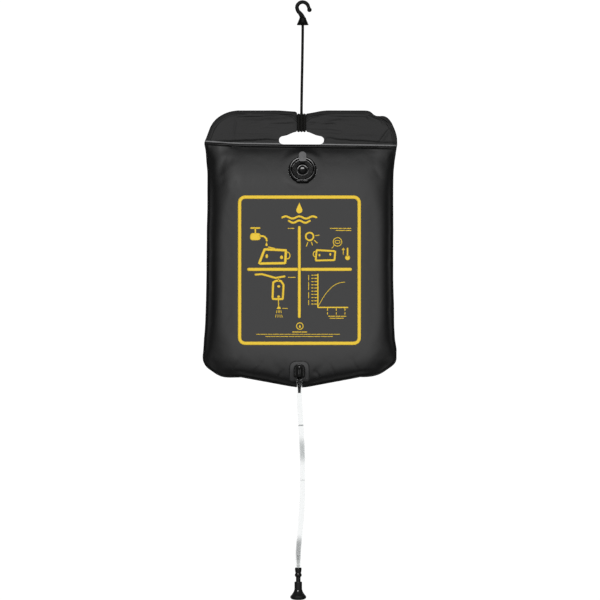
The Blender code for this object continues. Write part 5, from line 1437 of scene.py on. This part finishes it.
# %% The dome
DOME_MIDDLE = Vector((0.06, -1.0, 0.04)).normalized()
DOME_FLATTENED = (1.0, 1.0, 0.72)      # the light reaches further up and down than to the sides
DOME = (                               # brightness from behind the bag, 0, to the dome's middle, 1
    (0.0, 0.50), (0.30, 0.20), (0.50, 0.03), (0.64, 0.05), (0.78, 0.36), (0.91, 1.42), (1.0, 1.58))
WHITE = 1.05

scene = bpy.context.scene
scene.view_settings.view_transform = "Standard"
world = bpy.data.worlds.new("studio")
scene.world = world
world.use_nodes = True
world.node_tree.nodes.clear()
add = node_adder(world.node_tree)
direction = add("TexCoord", {}, "Generated")
flattened = add("VectorMath", {"operation": "MULTIPLY"}, _0=direction, _1=DOME_FLATTENED)
level = add("VectorMath", {"operation": "NORMALIZE"}, _0=flattened)
facing = add("VectorMath", {"operation": "DOT_PRODUCT"}, "Value", _0=level, _1=DOME_MIDDLE)
dome = add("ValToRGB", {}, 0, _0=add("Math", {"operation": "MULTIPLY_ADD"}, _0=facing, _1=0.5, _2=0.5))
colours = dome.node.color_ramp.elements
while len(colours) < len(DOME):
    colours.new(0.5)
for element, (place, light) in zip(colours, DOME):
    element.position = place
    element.color = (light, light, light, 1.0)
seen = add("Math", {"operation": "MAXIMUM"}, _0=add("LightPath", {}, "Is Camera Ray"),
           _1=add("LightPath", {}, "Is Transmission Ray"))
mix = add("MixShader", {}, 0, _0=seen, _1=add("Background", {}, 0, Color=dome),
          _2=add("Background", {}, 0, Color=(1.0, 1.0, 1.0, 1.0), Strength=WHITE))
world.node_tree.links.new(mix, world.node_tree.nodes.new("ShaderNodeOutputWorld").inputs[0])

# %% Lamps and floor
BAG_MIDDLE = (-0.0045, 0.0, -0.55)
FLOOR_Z = -2.10


def lamp(name, place, size, watts, *pieces):
    """A rectangular lamp that faces the bag; with pieces named, it lights only those."""
    data = bpy.data.lights.new(name, "AREA")
    data.shape = "RECTANGLE"
    data.size, data.size_y = size
    data.energy = watts
    made = bpy.data.objects.new(name, data)
    scene.collection.objects.link(made)
    made.location = place
    made.rotation_euler = (Vector(BAG_MIDDLE) - Vector(place)).to_track_quat("-Z", "Y").to_euler()
    if pieces:
        made.light_linking.receiver_collection = bpy.data.collections.new(name + "_pieces")
        for piece in pieces:
            made.light_linking.receiver_collection.objects.link(piece)


lamp("overhead", (-0.10, -1.85, 2.50), (2.2, 1.4), 1000.0, valve_ring, cap, strap, hood)
lamp("left_strip", (-1.2, -2.6, -0.75), (0.5, 0.8), 42.0, hood)
lamp("right_strip", (1.2, -2.6, -0.75), (0.5, 0.8), 42.0, hood)
lamp("head_lamp", (-0.5, -2.6, 0.9), (0.9, 0.9), 220.0, stem, bell)
lamp("key", (-1.1, -3.4, 1.5), (0.5, 0.5), 6.0)
lamp("back", (0.9, 2.6, 1.2), (1.6, 1.2), 16.0)

bpy.ops.object.select_all(action="DESELECT")
bpy.ops.mesh.primitive_plane_add(size=6.0, location=(0.0, 0.0, FLOOR_Z))
floor = bpy.context.object
floor.name = "studio_floor"
floor.visible_glossy = floor.visible_diffuse = False
Finish("pale_floor", (0.92, 0.92, 0.92), 0.9).dress(floor)
